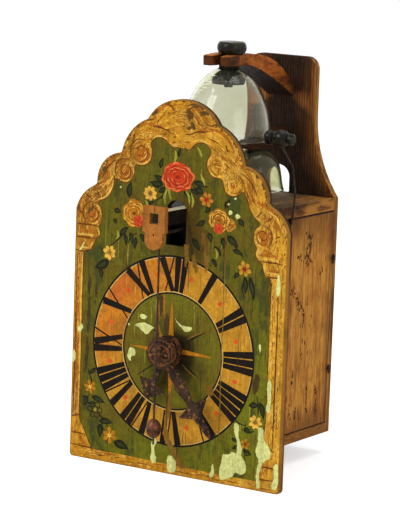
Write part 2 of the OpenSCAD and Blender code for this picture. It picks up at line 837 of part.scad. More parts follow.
// The verge with its two pallets over the crown wheel
module verge_arbor() {
    color("dimgray") union() {
        rod_y(movement_x, bridge_front + plate_t + 0.5, verge_z, verge_r,
            middle_bar_y - bridge_front - plate_t - 1);
        rod_y(movement_x, bridge_front + 2, verge_z, pivot_r, middle_bar_y + 1 - bridge_front);
        for (s = [-1, 1]) translate([movement_x, crown_y + s * crown_r - 1.6, verge_z])
            rotate([0, s * 42, 0]) translate([-0.5, 0, -pallet_l]) cube([1, 3.2, pallet_l]);
    }
}

module pendulum_wire() {
    color("dimgray") difference() {
        union() {
            rod_y(movement_x, pendulum_y - 1.4, verge_z, verge_r + 1, 2.8);
            translate([movement_x, pendulum_y, verge_z - pendulum_l - bob_h / 2 - 5])
                cylinder(d = pendulum_wire_d, h = pendulum_l + bob_h / 2 + 4, $fn = small_fn);
        }
        rod_y(movement_x, pendulum_y - 3, verge_z, verge_r, 6);
    }
}

// A turned bob that slides on the wire
module pendulum_bob() {
    color("sienna") translate([movement_x, pendulum_y, verge_z - pendulum_l])
        rotate_extrude($fn = round_fn)
        polygon(concat([for (a = [-80 : 10 : 80]) [bob_w / 2 * cos(a), bob_h / 2 * sin(a)]],
            [[pendulum_wire_d / 2 + pivot_gap, bob_h / 2 * sin(80)],
            [pendulum_wire_d / 2 + pivot_gap, -bob_h / 2 * sin(80)]]));
}

// The strike great arbor reaches through the rear bar and ends in the count pinion
module strike_great_arbor() {
    color("tan") union() {
        rod_y(movement_x, bay2_y + 0.5, strike_z, arbor_r, count_y + thin_wheel_t - bay2_y - 0.5);
        rod_y(movement_x, bay2_y - bar_t / 2 + 0.5, strike_z, pivot_r, bar_t / 2 + 2);
        leaf_pinion(movement_x, strike_z, count_y, thin_wheel_t, count_pinion_n, module_count, 1);
    }
}

module strike_great_wheel() {
    color("sienna") difference() {
        wheel(movement_x, strike_z, strike_y, wheel_t, strike_great_n, module_strike, 9, arbor_r, 6);
        lifting_pin_shapes();
    }
}

module strike_pulley() {
    color("sienna") pulley(strike_z, strike_y + wheel_t + 5);
}

// Thirteen pins that lift the hour hammer's tail
module lifting_pin_shapes() {
    for (i = [0 : pin_n - 1]) rod_y(movement_x + pin_circle_r * cos((i + 0.5) * 360 / pin_n),
        strike_y + 1, strike_z + pin_circle_r * sin((i + 0.5) * 360 / pin_n), pin_r, wheel_t + 3, 16);
}

module lifting_pins() {
    color("silver") lifting_pin_shapes();
}

module hoop_arbor() {
    color("tan") union() {
        arbor(movement_x, centre_z, bay2_y + 0.5, rear_bar_y - 0.5, bar_t / 2 - 0.5, bar_t - 1);
        lantern(movement_x, centre_z, strike_y - 0.5, wheel_t + 1, leaf_n, module_strike * leaf_n / 2);
    }
}

// The hoop is a raised rim with one gap, into which the locking arm drops
module hoop_wheel() {
    color("sienna") union() {
        wheel(movement_x, centre_z, hoop_y, thin_wheel_t, hoop_n, module_strike, 7, arbor_r);
        difference() {
            rod_y(movement_x, hoop_y + thin_wheel_t, centre_z, 21, 4, round_fn);
            rod_y(movement_x, hoop_y + thin_wheel_t - 1, centre_z, 19.4, 6, round_fn);
            translate([movement_x - 24, hoop_y + thin_wheel_t, centre_z]) cube([8, 5, 6]);
        }
    }
}

module warning_arbor() {
    color("tan") union() {
        arbor(movement_x, warning_z, bay2_y + 0.5, rear_bar_y - 0.5, bar_t / 2 - 0.5, bar_t - 1);
        lantern(movement_x, warning_z, hoop_y - 0.5, thin_wheel_t + 1, leaf_n, module_strike * leaf_n / 2);
    }
}

module warning_wheel() {
    color("sienna") union() {
        wheel(movement_x, warning_z, warning_y, thin_wheel_t, warning_n, module_warning, 6, arbor_r);
        rod_y(movement_x + 15.2, warning_y - 3, warning_z, pin_r, 4, 16);
    }
}

module fly_arbor() {
    color("tan") union() {
        arbor(movement_x, fly_z, bay2_y + 0.5, rear_bar_y - 0.5, bar_t / 2 - 0.5, bar_t - 1);
        lantern(movement_x, fly_z, warning_y - 0.5, thin_wheel_t + 1, leaf_n, module_warning * leaf_n / 2);
    }
}

module fly_vane() {
    color("wheat") difference() {
        union() {
            translate([movement_x - fly_r, fly_y, fly_z - 0.6]) cube([2 * fly_r, fly_l, 1.2]);
            rod_y(movement_x, fly_y, fly_z, arbor_r + 1.2, fly_l);
        }
        rod_y(movement_x, fly_y - 1, fly_z, arbor_r, fly_l + 2);
    }
}

// The count wheel has a tooth ring and a rim with a slot after each hour's blows
module count_wheel() {
    rim_r = module_count * count_n / 2 - 2;
    color("sienna") difference() {
        wheel(movement_x, count_z, count_y, thin_wheel_t, count_n, module_count, 7, arbor_r + pivot_gap, 4);
        for (h = [1 : 12]) rotate_about(movement_x, count_z, h * (h + 1) / 2 * 360 / 78)
            translate([movement_x + rim_r - 2.6, count_y - 1, count_z - 0.6])
                cube([1.6, 1 + thin_wheel_t / 2, 1.2]);
    }
}

module rotate_about(x, z, a) {
    translate([x, 0, z]) rotate([0, a, 0]) translate([-x, 0, -z]) children();
}

// A flat arm in the XZ plane from one point to another
module arm(from, tip, y, t) {
    v = tip - from;
    l = norm(v);
    translate([from[0], y, from[1]]) rotate([0, -atan2(v[1], v[0]), 0])
        translate([0, 0, -arm_t / 2]) cube([l, t, arm_t]);
}

// Raised by the motion work before each hour; a second arm warns the strike train
module lifting_lever() {
    color("tan") union() {
        rod_y(-lever_x, motion_y + 1, lift_z, lever_r, rear_bar_y + bar_t - 1 - motion_y - 1);
        arm([-lever_x, lift_z], lift_tip, motion_y + 1, 4);
        arm([-lever_x, lift_z], warn_tip, warning_y, 4);
    }
}

// Holds the strike train still: one arm over the count wheel, one over the hoop
module locking_lever() {
    color("tan") union() {
        rod_y(-lever_x, bay1_y - 6, lock_z, lever_r, count_y + thin_wheel_t - bay1_y + 6);
        arm([-lever_x, lock_z], count_tip, count_y, thin_wheel_t);
        arm([-lever_x, lock_z], hoop_tip, hoop_y + thin_wheel_t, 4);
    }
}

// The wire from the hour hammer's arbor, out through the door's notch, to the head
module hammer_wire_shape() {
    top = [hammer_x0 + 0.5 * head_l, big_bell_y - 1, head_z];
    bent_wire([[lever_x, hammer_y, hammer_z], [door_x, hammer_y, hammer_z + 8],
        [case_x + 1.5, hammer_y, case_top - 4], [case_x + 3.2, hammer_y, lid_z],
        [case_x + 6.5, hammer_y - 4.5, lid_z + 12], [case_x + 6, big_bell_y + 2.4, head_z - 22],
        [top[0] + 3, big_bell_y, head_z - 9], top], hammer_wire_d);
}

// The hour hammer's arbor with its wire, and its tail down to the lifting pins
module hammer_rod() {
    x = lever_x;
    tail_y = strike_y + wheel_t + 2;
    color("dimgray") union() {
        rod_y(x, front_bar_y + 1, hammer_z, hammer_arbor_r, hammer_arbor_l);
        hammer_wire_shape();
        bent_wire([[x, tail_y, hammer_z], [tail_tip[0], tail_y, tail_tip[1]]], hammer_wire_d);
    }
}

// A turned head along X: a small bead, a large one and a button at the end
module turned_head(x0, y, z, l, d, side) {
    bead = [for (a = [-80 : 20 : 80]) [d * (0.25 + 0.18 * cos(a)), l * (0.14 + 0.14 * sin(a))]];
    belly = [for (a = [-80 : 20 : 80]) [d * (0.22 + 0.28 * cos(a)), l * (0.54 + 0.25 * sin(a))]];
    button = [[d * 0.27, l * 0.8], [d * 0.33, l * 0.86], [d * 0.33, l * 0.95], [d * 0.22, l]];
    translate([x0, y, z]) rotate([0, side * 90, 0]) rotate_extrude($fn = round_fn)
        polygon(concat([[0, 0]], bead, belly, button, [[0, l]]));
}

module hammer_head() {
    color("black") difference() {
        turned_head(hammer_x0, big_bell_y - 1, head_z, head_l, head_d, 1);
        hammer_wire_shape();
    }
}

// The wire of the quarter hammer, out through the left door's notch
module quarter_wire_shape() {
    bent_wire([[-lever_x, quarter_y, hammer_z], [-door_x, quarter_y, hammer_z + 8],
        [-case_x - 1.5, quarter_y, case_top - 4], [-case_x - 1.5, quarter_y, lid_z],
        [quarter_x0 - 0.6 * quarter_head_l, quarter_y, quarter_head_z - 3],
        [quarter_x0 - 0.5 * quarter_head_l, quarter_y, quarter_head_z]], hammer_wire_d);
}

module quarter_hammer_rod() {
    x = -lever_x;
    tail_y = centre_y + thin_wheel_t + 2;
    color("dimgray") union() {
        rod_y(x, front_bar_y + 1, hammer_z, hammer_arbor_r, hammer_arbor_l);
        quarter_wire_shape();
        bent_wire([[x, tail_y, hammer_z], [quarter_tail_tip[0], tail_y, quarter_tail_tip[1]]],
            hammer_wire_d);
    }
}

module quarter_hammer_head() {
    color("black") difference() {
        turned_head(quarter_x0, quarter_y, quarter_head_z, quarter_head_l, quarter_head_d, -1);
        quarter_wire_shape();
    }
}

// Profile of the large bell, wide at the rim and round at the shoulder
function big_r(t) = pow(1 - pow(t / 1.035, 2.2), 0.532);

module big_bell() {
    steps = 12;
    outer = [for (i = [0 : steps]) [big_rim_r * big_r(i / steps), big_bell_h * i / steps]];
    inner = [for (i = [steps : -1 : 0])
        [(big_rim_r - glass_t) * big_r(i / steps), (big_bell_h - glass_t) * i / steps]];
    color("lightgray", 0.5) translate([big_bell_x, big_bell_y, big_rim_z])
        rotate_extrude($fn = round_fn)
        polygon(concat(outer, [[stem_r + 0.5, big_bell_h], [stem_r + 0.5, big_bell_h - glass_t]], inner));
}

// A cork under the glass and a thick leather over it
module big_bell_washers() {
    color("darkslategray") translate([big_bell_x, big_bell_y, 0]) {
        difference() {
            translate([0, 0, big_rim_z + big_bell_h]) cylinder(r = 8, h = leather_t, $fn = round_fn);
            translate([0, 0, big_rim_z]) cylinder(r = stem_r, h = 90, $fn = round_fn);
        }
        translate([0, 0, big_rim_z + big_bell_h - glass_t]) rotate([180, 0, 0])
            rotate_extrude($fn = round_fn)
            polygon([[stem_r, 0.3], [6.5, 0.3], [12.2, 4.6], [13.4, 8], [12.8, 11], [stem_r, 11.6]]);
    }
}

// The turned knob, a little off the stem that holds the bell under its arm
module bell_knob() {
    r = knob_r;
    h = knob_h;
    color("black") translate([big_bell_x, big_bell_y, knob_z]) union() {
        translate([0, 0, -knob_stem_l]) cylinder(r = stem_r, h = knob_stem_l + h / 2, $fn = round_fn);
        translate([knob_off, 0, 0]) rotate_extrude($fn = round_fn)
            polygon(concat([[0, 0]],
                [for (a = [-70 : 14 : 70]) [0.72 * r + 0.28 * r * cos(a), h / 2 + h / 2 * sin(a)]],
                [[0, h]]));
    }
}

// Outline of the large bell's bent arm in Y and Z, from the front end to its root
function arm_share(y) = (y - arm_crown_y) / (back_y - arm_crown_y);
function arm_top_z(y) = let (t = arm_share(y))
    bell_arm_top_z - (t < 0 ? 0.5 : 1) * (arm_fall * pow(t, 2) + arm_curl * pow(t, 4));
function arm_low_z(y) = bell_arm_under_z - arm_low_fall * pow(max(0, arm_share(y) - 0.04), 1.34);

module bell_arm() {
    n = 18;
    y_steps = [for (i = [0 : n]) bell_arm_front + (back_y - bell_arm_front) * i / n];
    color("chocolate") difference() {
        translate([big_bell_x + bell_arm_w / 2, 0, 0]) rotate([90, 0, -90]) mirror([1, 0, 0])
            linear_extrude(bell_arm_w)
            polygon(concat([for (y = y_steps) [y, arm_top_z(y)]],
                [for (i = [n : -1 : 0]) [y_steps[i], arm_low_z(y_steps[i])]]));
        translate([big_bell_x - bell_arm_slot / 2, bell_arm_front - 1, bell_arm_under_z - 1])
            cube([bell_arm_slot, big_bell_y - bell_arm_front + 1, 14]);
        translate([big_bell_x, big_bell_y, bell_arm_under_z - 1])
            cylinder(r = stem_r, h = 14, $fn = round_fn);
        translate([big_bell_x + knob_off, big_bell_y, knob_z])
            cylinder(r = knob_r + 0.3, h = 20, $fn = round_fn);
    }
}

// Profile of the small bell: a flared skirt under a round shoulder
function skirt_r(t) = 0.56 + 0.44 * pow(1 - t, 1.15);

module small_bell() {
    h = small_bell_h;
    r = small_rim_r;
    outer = concat([for (i = [0 : 8]) [r * skirt_r(i / 8), (h - 4.2) * i / 8]],
        [for (a = [20 : 23 : 89]) [r * 0.56 - 5 + 5 * cos(a), h - 4.2 + 4.2 * sin(a)]]);
    inner = [for (i = [len(outer) - 1 : -1 : 0])
        [outer[i][0] - glass_t, outer[i][1] * (h - glass_t) / h]];
    color("lightgray", 0.5) translate([small_bell_x, small_bell_y, small_rim_z])
        rotate_extrude($fn = round_fn)
        polygon(concat(outer, [[small_stem_r + 0.4, h], [small_stem_r + 0.4, h - glass_t]], inner));
}

// A short turned stem with a button under the glass and a head on the arm
module small_bell_stem() {
    top = small_arm_z + 7;
    low = small_rim_z + small_bell_h - glass_t;
    color("black") translate([small_bell_x, small_bell_y, 0]) rotate_extrude($fn = small_fn)
        polygon([[0, low - 7], [3.4, low - 6.4], [6, low - 3], [6, low - 0.3], [small_stem_r, low - 0.3],
            [small_stem_r, top], [4, top], [3.6, top + 2], [0, top + 2.2]]);
}

module small_bell_arm() {
    w = 14;
    front = small_bell_y - 10;
    z = small_arm_z;
    color("chocolate") difference() {
        translate([small_bell_x + w / 2, 0, 0]) rotate([90, 0, -90]) mirror([1, 0, 0]) linear_extrude(w)
            polygon([[front, z + 5.6], [front + 3, z + 7], [front + 18, z + 7], [back_y - 8, z + 14],
                [back_y, z + 14.6], [back_y, z + 2], [front + 22, z], [front, z]]);
        translate([small_bell_x, small_bell_y, z - 1]) cylinder(r = small_stem_r, h = 16, $fn = small_fn);
    }
}

placed() back_board();
placed() top_board();
placed() bottom_board();
placed() corner_posts();
placed() front_bar();
placed() middle_bar();
placed() rear_bar();
placed() left_door();
placed() right_door();
placed() hinge_pins();
placed() left_hinge_eyes();
placed() right_hinge_eyes();
placed() case_nails();
placed() dial_board();
placed() bridge_arm();
placed() bridge_plate();
placed() wheel_studs();
placed() crown_potences();
placed() going_great_arbor();
placed() going_great_wheel();
placed() going_pulley();
placed() centre_arbor();
placed() centre_wheel();
placed() contrate_arbor();
placed() contrate_wheel();
placed() crown_arbor();
placed() crown_wheel();
placed() cannon_pinion();
placed() motion_wheel();
placed() hour_wheel();
placed() hour_hand();
placed() minute_hand();
placed() hand_pin();
placed() verge_arbor();
placed() pendulum_wire();
placed() pendulum_bob();
placed() strike_great_arbor();
placed() strike_great_wheel();
placed() strike_pulley();
placed() lifting_pins();
placed() hoop_arbor();
placed() hoop_wheel();
placed() warning_arbor();
placed() warning_wheel();
placed() fly_arbor();
placed() fly_vane();
placed() count_wheel();
placed() lifting_lever();
placed() locking_lever();
placed() hammer_rod();
placed() hammer_head();
placed() quarter_hammer_rod();
placed() quarter_hammer_head();
placed() big_bell();
placed() big_bell_washers();
placed() bell_knob();
placed() bell_arm();
placed() small_bell();
placed() small_bell_stem();
placed() small_bell_arm();
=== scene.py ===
# %% [markdown]
# A painted wall clock with a wooden movement and two glass bells.
# The packed model is the frame that everything else hangs on: its boards, wheels and wires are
# already in place, in metres. This lesson gives them their finishes, paints the dial stroke by
# stroke, blows the glass, and sets up the light and the camera.

# %% Load the frame
import json
import math
import random

import bmesh
import bpy
from mathutils import Matrix, Vector, noise
from mathutils.geometry import delaunay_2d_cdt


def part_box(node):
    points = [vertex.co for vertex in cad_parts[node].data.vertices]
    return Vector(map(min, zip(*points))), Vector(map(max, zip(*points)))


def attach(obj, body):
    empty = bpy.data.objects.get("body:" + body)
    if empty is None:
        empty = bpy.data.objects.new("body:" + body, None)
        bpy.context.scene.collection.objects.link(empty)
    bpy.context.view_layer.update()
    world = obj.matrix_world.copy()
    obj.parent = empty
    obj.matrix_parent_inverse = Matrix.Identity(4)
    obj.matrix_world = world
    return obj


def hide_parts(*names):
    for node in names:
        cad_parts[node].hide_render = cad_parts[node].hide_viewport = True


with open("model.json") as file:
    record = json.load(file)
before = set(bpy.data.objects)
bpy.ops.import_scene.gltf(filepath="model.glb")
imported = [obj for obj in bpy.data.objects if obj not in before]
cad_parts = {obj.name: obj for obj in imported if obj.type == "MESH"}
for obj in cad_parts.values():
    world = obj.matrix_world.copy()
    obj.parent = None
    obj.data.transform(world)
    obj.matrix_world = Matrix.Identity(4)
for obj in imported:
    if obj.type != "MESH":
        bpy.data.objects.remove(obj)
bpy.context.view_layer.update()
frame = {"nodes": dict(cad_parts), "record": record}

nodes = frame["nodes"]
scene = bpy.context.scene

# %% [markdown]
# Sizes in this lesson are written in millimetres as a clockmaker would measure them: x to the
# right, depth back from the dial's front face, and height above the dial's lower edge. One small
# function turns them into the metres of the frame.

# %% Millimetres to the frame
MM = 0.001
DIAL_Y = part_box("dial_board")[0].y


def at(x, depth, height):
    """A place given in millimetres, in the frame's metres."""
    return Vector((x * MM, DIAL_Y + depth * MM, height * MM))


print("dial face lies at y =", round(DIAL_Y, 5))

# %% [markdown]
# The camera stands to the right of the clock and a little above it, far off with a long lens, as
# for a catalogue picture. Its place and turn were worked out from the corners of the case.

# %% Camera
YAW, LIFT, ROLL = math.radians(33.01), math.radians(9.29), math.radians(1.96)
CAMERA_PLACE = at(1155.4, -1747.55, 517.87)
FOCAL_PIXELS, LONG_SIDE_PIXELS, SENSOR, SIGHT = 2704.25, 516, 36.0, 50

back = Vector((math.sin(YAW) * math.cos(LIFT), -math.cos(YAW) * math.cos(LIFT), math.sin(LIFT)))
right = Vector((math.cos(YAW), math.sin(YAW), 0))
up = back.cross(right)
right_rolled = right * math.cos(ROLL) + up * math.sin(ROLL)
up_rolled = up * math.cos(ROLL) - right * math.sin(ROLL)

camera_data = bpy.data.cameras.new("camera")
camera_data.sensor_width = SENSOR
camera_data.lens = FOCAL_PIXELS * SENSOR / LONG_SIDE_PIXELS
camera_data.clip_end = SIGHT
camera = bpy.data.objects.new("camera", camera_data)
turn = Matrix((right_rolled, up_rolled, back)).transposed().to_4x4()
camera.matrix_world = Matrix.Translation(CAMERA_PLACE) @ turn
scene.collection.objects.link(camera)
scene.camera = camera
print("camera lens", round(camera_data.lens, 1), "mm")

# %% [markdown]
# Colours are noted as they look on a screen, from 0 to 255. The renderer wants linear light, so
# each one goes through the usual curve.

# %% Colours


def tint(r, g, b):
    """A screen colour from 0 to 255 as linear light with full opacity."""
    def curve(v):
        v /= 255
        return v / 12.92 if v <= 0.04045 else ((v + 0.055) / 1.055) ** 2.4
    return (curve(r), curve(g), curve(b), 1.0)


print("mid grey as linear light:", round(tint(128, 128, 128)[0], 3))

# %% [markdown]
# A material is a small graph of nodes. It could be joined up by hand in the shader editor, but in
# code it can be read, repeated and changed in one place. Most of its masks are sums on numbers that
# vary over the surface, which are hard to read as one call for each Math node. A small class stands
# for such a number, so that a plus or a minus sign in the lesson adds the node that does it.

# %% Fields


class Field:
    """A number that varies over the surface; each sum on it adds a node to its tree."""

    def __init__(self, socket):
        self.socket, self.tree = socket, socket.id_data

    def sum(self, operation, a, b=0.0):
        node = add(self.tree, "ShaderNodeMath", {0: a, 1: b}, operation=operation)
        return Field(node.outputs[0])

    def __add__(self, other):
        return self.sum("ADD", self, other)

    def __sub__(self, other):
        return self.sum("SUBTRACT", self, other)

    def __rsub__(self, other):
        return self.sum("SUBTRACT", other, self)

    def __mul__(self, other):
        return self.sum("MULTIPLY", self, other)

    def most(self, other):
        return self.sum("MAXIMUM", self, other)

    def least(self, other):
        return self.sum("MINIMUM", self, other)

    def size(self):
        return self.sum("ABSOLUTE", self)

    def root(self):
        return self.sum("SQRT", self)

    def sine(self):
        return self.sum("SINE", self)

    def spread(self, to_low, to_high, low=0.0, high=1.0, kind="LINEAR"):
        """Maps the range from low to high onto the one from to_low to to_high."""
        node = add(self.tree, "ShaderNodeMapRange",
                   {"Value": self, "From Min": low, "From Max": high,
                    "To Min": to_low, "To Max": to_high}, interpolation_type=kind)
        return Field(node.outputs["Result"])

    def step(self, low, high):
        """0 below low, 1 above high, smooth between; a falling step has low above high."""
        return self.spread(0.0, 1.0, low, high, "SMOOTHSTEP")


def distance(x, z):
    """How far a place is from the point where both fields are zero."""
    return (x * x + z * z).root()


print("sums on a field:", ", ".join(k for k in Field.__dict__ if not k.startswith("__")))

# %% [markdown]
# Two helpers do all the joining: one feeds a node's inputs, the other adds a node to a tree.

# %% Node helpers
COLOUR, NUMBER, VECTOR = "NodeSocketColor", "NodeSocketFloat", "NodeSocketVector"


def feed(node, inputs):
    """Fills a node's inputs: fields and sockets are linked, plain values are set."""
    for key, value in inputs.items():
        value = value.socket if isinstance(value, Field) else value
        if isinstance(value, bpy.types.NodeSocket):
            node.id_data.links.new(value, node.inputs[key])
        else:
            node.inputs[key].default_value = value
    return node


def add(tree, kind, inputs=None, **settings):
    """Adds a node, sets its properties, then feeds its inputs."""
    node = tree.nodes.new(kind)
    for key, value in settings.items():
        setattr(node, key, value)
    return feed(node, inputs or {})


print("socket kinds:", COLOUR, NUMBER, VECTOR)

# %% [markdown]
# A material starts from one shader. An effect that several materials share is a group of nodes with
# named sockets, so that it's made once and can be read in the shader editor as one box.

# %% Materials and groups


def start_material(name, **shader_values):
    """A material with one Principled shader, its plain values set on the shader itself."""
    material = bpy.data.materials.new(name)
    material.use_nodes = True
    tree = material.node_tree
    tree.nodes.clear()
    shader = add(tree, "ShaderNodeBsdfPrincipled",
                 {key.replace("_", " "): value for key, value in shader_values.items()})
    add(tree, "ShaderNodeOutputMaterial", {"Surface": shader.outputs["BSDF"]})
    return material, tree, shader


def fields_of(node):
    """A node's outputs as fields, by name."""
    return {socket.name: Field(socket) for socket in node.outputs if socket.name}


def start_group(name, inputs, outputs):
    """A node group with named sockets: the group, its inputs as fields and its end node."""
    group = bpy.data.node_groups.new(name, "ShaderNodeTree")
    for label, kind, value in inputs:
        socket = group.interface.new_socket(label, in_out="INPUT", socket_type=kind)
        if value is not None:
            socket.default_value = value
    for label, kind in outputs:
        group.interface.new_socket(label, in_out="OUTPUT", socket_type=kind)
    return group, fields_of(add(group, "NodeGroupInput")), add(group, "NodeGroupOutput")


def place_group(tree, group, inputs):
    """Puts a node group into a material and returns its outputs as fields."""
    return fields_of(add(tree, "ShaderNodeGroup", inputs, node_tree=group))


print("materials before the first finish:", len(bpy.data.materials))

# %% [markdown]
# These helpers are the words that every finish is written in: where a point lies, noise there, a
# mixture of two colours, and relief that catches the light. Pictures of old wood could give all
# this too, but noise is free of seams, sharp from any distance, and its scale is a plain number.

# %% Noise, colour and relief


def object_place(tree):
    return add(tree, "ShaderNodeTexCoord").outputs["Object"]


def squeezed(tree, stretch):
    """Object coordinates scaled per axis, so that noise runs along the grain."""
    return add(tree, "ShaderNodeMapping",
               {"Vector": object_place(tree), "Scale": stretch}).outputs["Vector"]


def cloud(tree, vector, scale, detail=2.0, roughness=0.5):
    """Noise between 0 and 1."""
    settings = {"Vector": vector, "Scale": scale, "Detail": detail, "Roughness": roughness}
    return Field(add(tree, "ShaderNodeTexNoise", settings).outputs["Fac"])


def mix(tree, factor, a, b):
    """Mixes two colours and returns the result's socket."""
    return add(tree, "ShaderNodeMix", {0: factor, 6: a, 7: b}, data_type="RGBA").outputs[2]


def ramp(tree, factor, stops):
    """A colour ramp through the given (position, colour) stops."""
    node = add(tree, "ShaderNodeValToRGB", {"Fac": factor})
    elements = node.color_ramp.elements
    while len(elements) < len(stops):
        elements.new(0.5)
    for element, (position, colour) in zip(elements, stops):
        element.position, element.color = position, colour
    return node.outputs["Color"]


def relief(tree, strength, depth, height):
    """A normal that follows a height, depth metres deep."""
    settings = {"Strength": strength, "Distance": depth, "Height": height}
    return add(tree, "ShaderNodeBump", settings).outputs["Normal"]


print("noise, mixtures, ramps and relief ready")

# %% [markdown]
# A finish is built up as a painter would, with a ground colour and one tone after another over it.
# The class keeps the running colour, so that the order of the coats reads from top to bottom.

# %% Coats


class Coat:
    """A running colour in a tree; each tone is laid over it where a mask holds."""

    def __init__(self, tree, colour):
        self.tree, self.colour = tree, colour

    def axis(self, name, source="Object"):
        """One coordinate of the object, or of its surface normal."""
        vector = add(self.tree, "ShaderNodeTexCoord").outputs[source]
        return Field(add(self.tree, "ShaderNodeSeparateXYZ", {"Vector": vector}).outputs[name])

    def streaks(self, scale, stretch=(1, 1, 0.05)):
        """Noise drawn out along the grain."""
        return cloud(self.tree, squeezed(self.tree, stretch), scale, 4.0, 0.65)

    def shift(self, scale, stretch, reach):
        """Noise in metres, up to half of reach either way, that makes a zone's border uneven."""
        return (cloud(self.tree, squeezed(self.tree, stretch), scale, 5.0, 0.6) - 0.5) * reach

    def lay(self, mask, tone, strength=None):
        """Lays a tone over the colour by a mask, at full strength or less."""
        mask = mask if strength is None else mask * strength
        self.colour = mix(self.tree, mask, self.colour, tone)


print("a coat can:", ", ".join(k for k in Coat.__dict__ if not k.startswith("__")))

# %% [markdown]
# Every board of this clock is softwood or beech that has darkened for two centuries. Its figure is
# one effect used by many materials, so it is a node group: long soft bands, fine pores along the
# grain, and a height that lets the light catch the raised grain. The material hands it coordinates
# that are already squeezed along the grain, and slow coloured noise bends them.

# %% Wood figure group
wood_group, given, ends = start_group(
    "Wood figure",
    [("Vector", VECTOR, None), ("Bands", NUMBER, 1.0), ("Pores", NUMBER, 1.0)],
    [("Figure", NUMBER), ("Pores", NUMBER), ("Height", NUMBER)])
bend = add(wood_group, "ShaderNodeTexNoise",
           {"Vector": given["Vector"], "Scale": 14.0}).outputs["Color"]
bent = add(wood_group, "ShaderNodeVectorMath", {0: bend, 1: bend, 2: given["Vector"]},
           operation="MULTIPLY_ADD").outputs["Vector"]
bands = cloud(wood_group, bent, given["Bands"] * 110.0, 4.0, 0.6).step(0.3, 0.7)
pores = cloud(wood_group, bent, given["Pores"] * 520.0, 3.0, 0.7).step(0.42, 0.62)
feed(ends, {"Figure": bands, "Pores": pores, "Height": bands * 0.45 + pores * 0.55})
print("group made:", wood_group.name)

# %% [markdown]
# Old wood is never clean: smoke, wax and hands leave broad dark clouds, and small specks where dirt
# sits in dents. This second group gives both as masks, so that any finish can darken by them.

# %% Grime group
grime_group, given, ends = start_group(
    "Grime",
    [("Vector", VECTOR, None), ("Cloud size", NUMBER, 30.0), ("Speck size", NUMBER, 260.0)],
    [("Clouds", NUMBER), ("Specks", NUMBER)])
clouds = cloud(grime_group, given["Vector"], given["Cloud size"], 5.0, 0.62)
specks = cloud(grime_group, given["Vector"], given["Speck size"], 3.0, 0.7)
feed(ends, {"Clouds": clouds.step(0.46, 0.68), "Specks": specks.step(0.62, 0.72)})
print("group made:", grime_group.name)

# %% [markdown]
# Woodworm has eaten channels into the door, along the grain, in a few clusters. Stretched cells
# give short dark slots, and a slow noise decides where the clusters are. The largest runs are
# modelled further on, and this group adds the faint ones between them.

# %% Woodworm group
worm_group, given, ends = start_group(
    "Woodworm", [("Vector", VECTOR, None), ("Reach", NUMBER, 0.5)], [("Channels", NUMBER)])
cells = Field(add(worm_group, "ShaderNodeTexVoronoi",
                  {"Vector": given["Vector"], "Scale": 260.0}).outputs["Distance"])
cluster = cloud(worm_group, given["Vector"], 26.0)
in_cluster = cluster.spread(0.0, 1.0, given["Reach"], given["Reach"] + 0.08)
feed(ends, {"Channels": (1.0 - cells.step(0.2, 0.34)) * in_cluster})
print("group made:", worm_group.name)

# %% [markdown]
# One recipe covers all the bare and waxed woods: pick the light and the dark of the grain, say how
# much grime lies on it and how strongly the grain stands up. The grain direction is given as three
# numbers: small along the grain, large across it. Old dry wood hardly shines, so its specular
# level is low, and the colours stay as deep as they are mixed.

# %% Wood recipe
WORM_TONE, WORM_DEPTH = tint(48, 26, 12), 3.0


def wood(name, light, dark, dirt, stretch=(1, 1, 0.12), bands=1.0, pores=1.0, grime=0.5,
         rough=0.6, height=0.4, worms=None, zones=None):
    """Aged wood: figure between two colours, clouds and specks of dirt, raised grain.

    zones is a function that takes the coat and lays the colours of special places on it.
    """
    material, tree, shader = start_material(name, Specular_IOR_Level=0.09)
    figure = place_group(tree, wood_group,
                         {"Vector": squeezed(tree, stretch), "Bands": bands, "Pores": pores})
    soot = place_group(tree, grime_group, {"Vector": object_place(tree), "Cloud size": 26.0})
    coat = Coat(tree, mix(tree, figure["Figure"], light, dark))
    coat.lay(figure["Pores"], dark, 0.45)
    if zones:
        zones(coat)
    coat.lay(soot["Clouds"], dirt, grime)
    coat.lay(soot["Specks"], dirt, 0.6)
    raised = figure["Height"]
    if worms:
        eaten = place_group(tree, worm_group,
                            {"Vector": squeezed(tree, (1, 1, 0.3)), "Reach": worms})["Channels"]
        coat.lay(eaten, WORM_TONE)
        raised = raised - eaten * WORM_DEPTH
    feed(shader, {"Base Color": coat.colour,
                  "Roughness": figure["Pores"].spread(rough - 0.1, rough + 0.15),
                  "Normal": relief(tree, height, 0.6 * MM, raised)})
    return material


print("wood recipe ready, with groups:", ", ".join(g.name for g in bpy.data.node_groups))

# %% [markdown]
# Some boards aren't the same all over. The back board is black in the middle and rubbed to a warm
# brown along its edges, with a rusty band at mid height whose lower edge runs on a slant. Its edge
# line is straight at the neck and then follows a hollow arc, so the distance to it comes from the
# same circle that shaped the board. All places in the zones are in metres of the frame.

# %% Zones on the back board
NECK_TOP, ARC_RADIUS, ARC_X, NECK_HALF = 0.2786, 0.107, 0.1385, 0.054


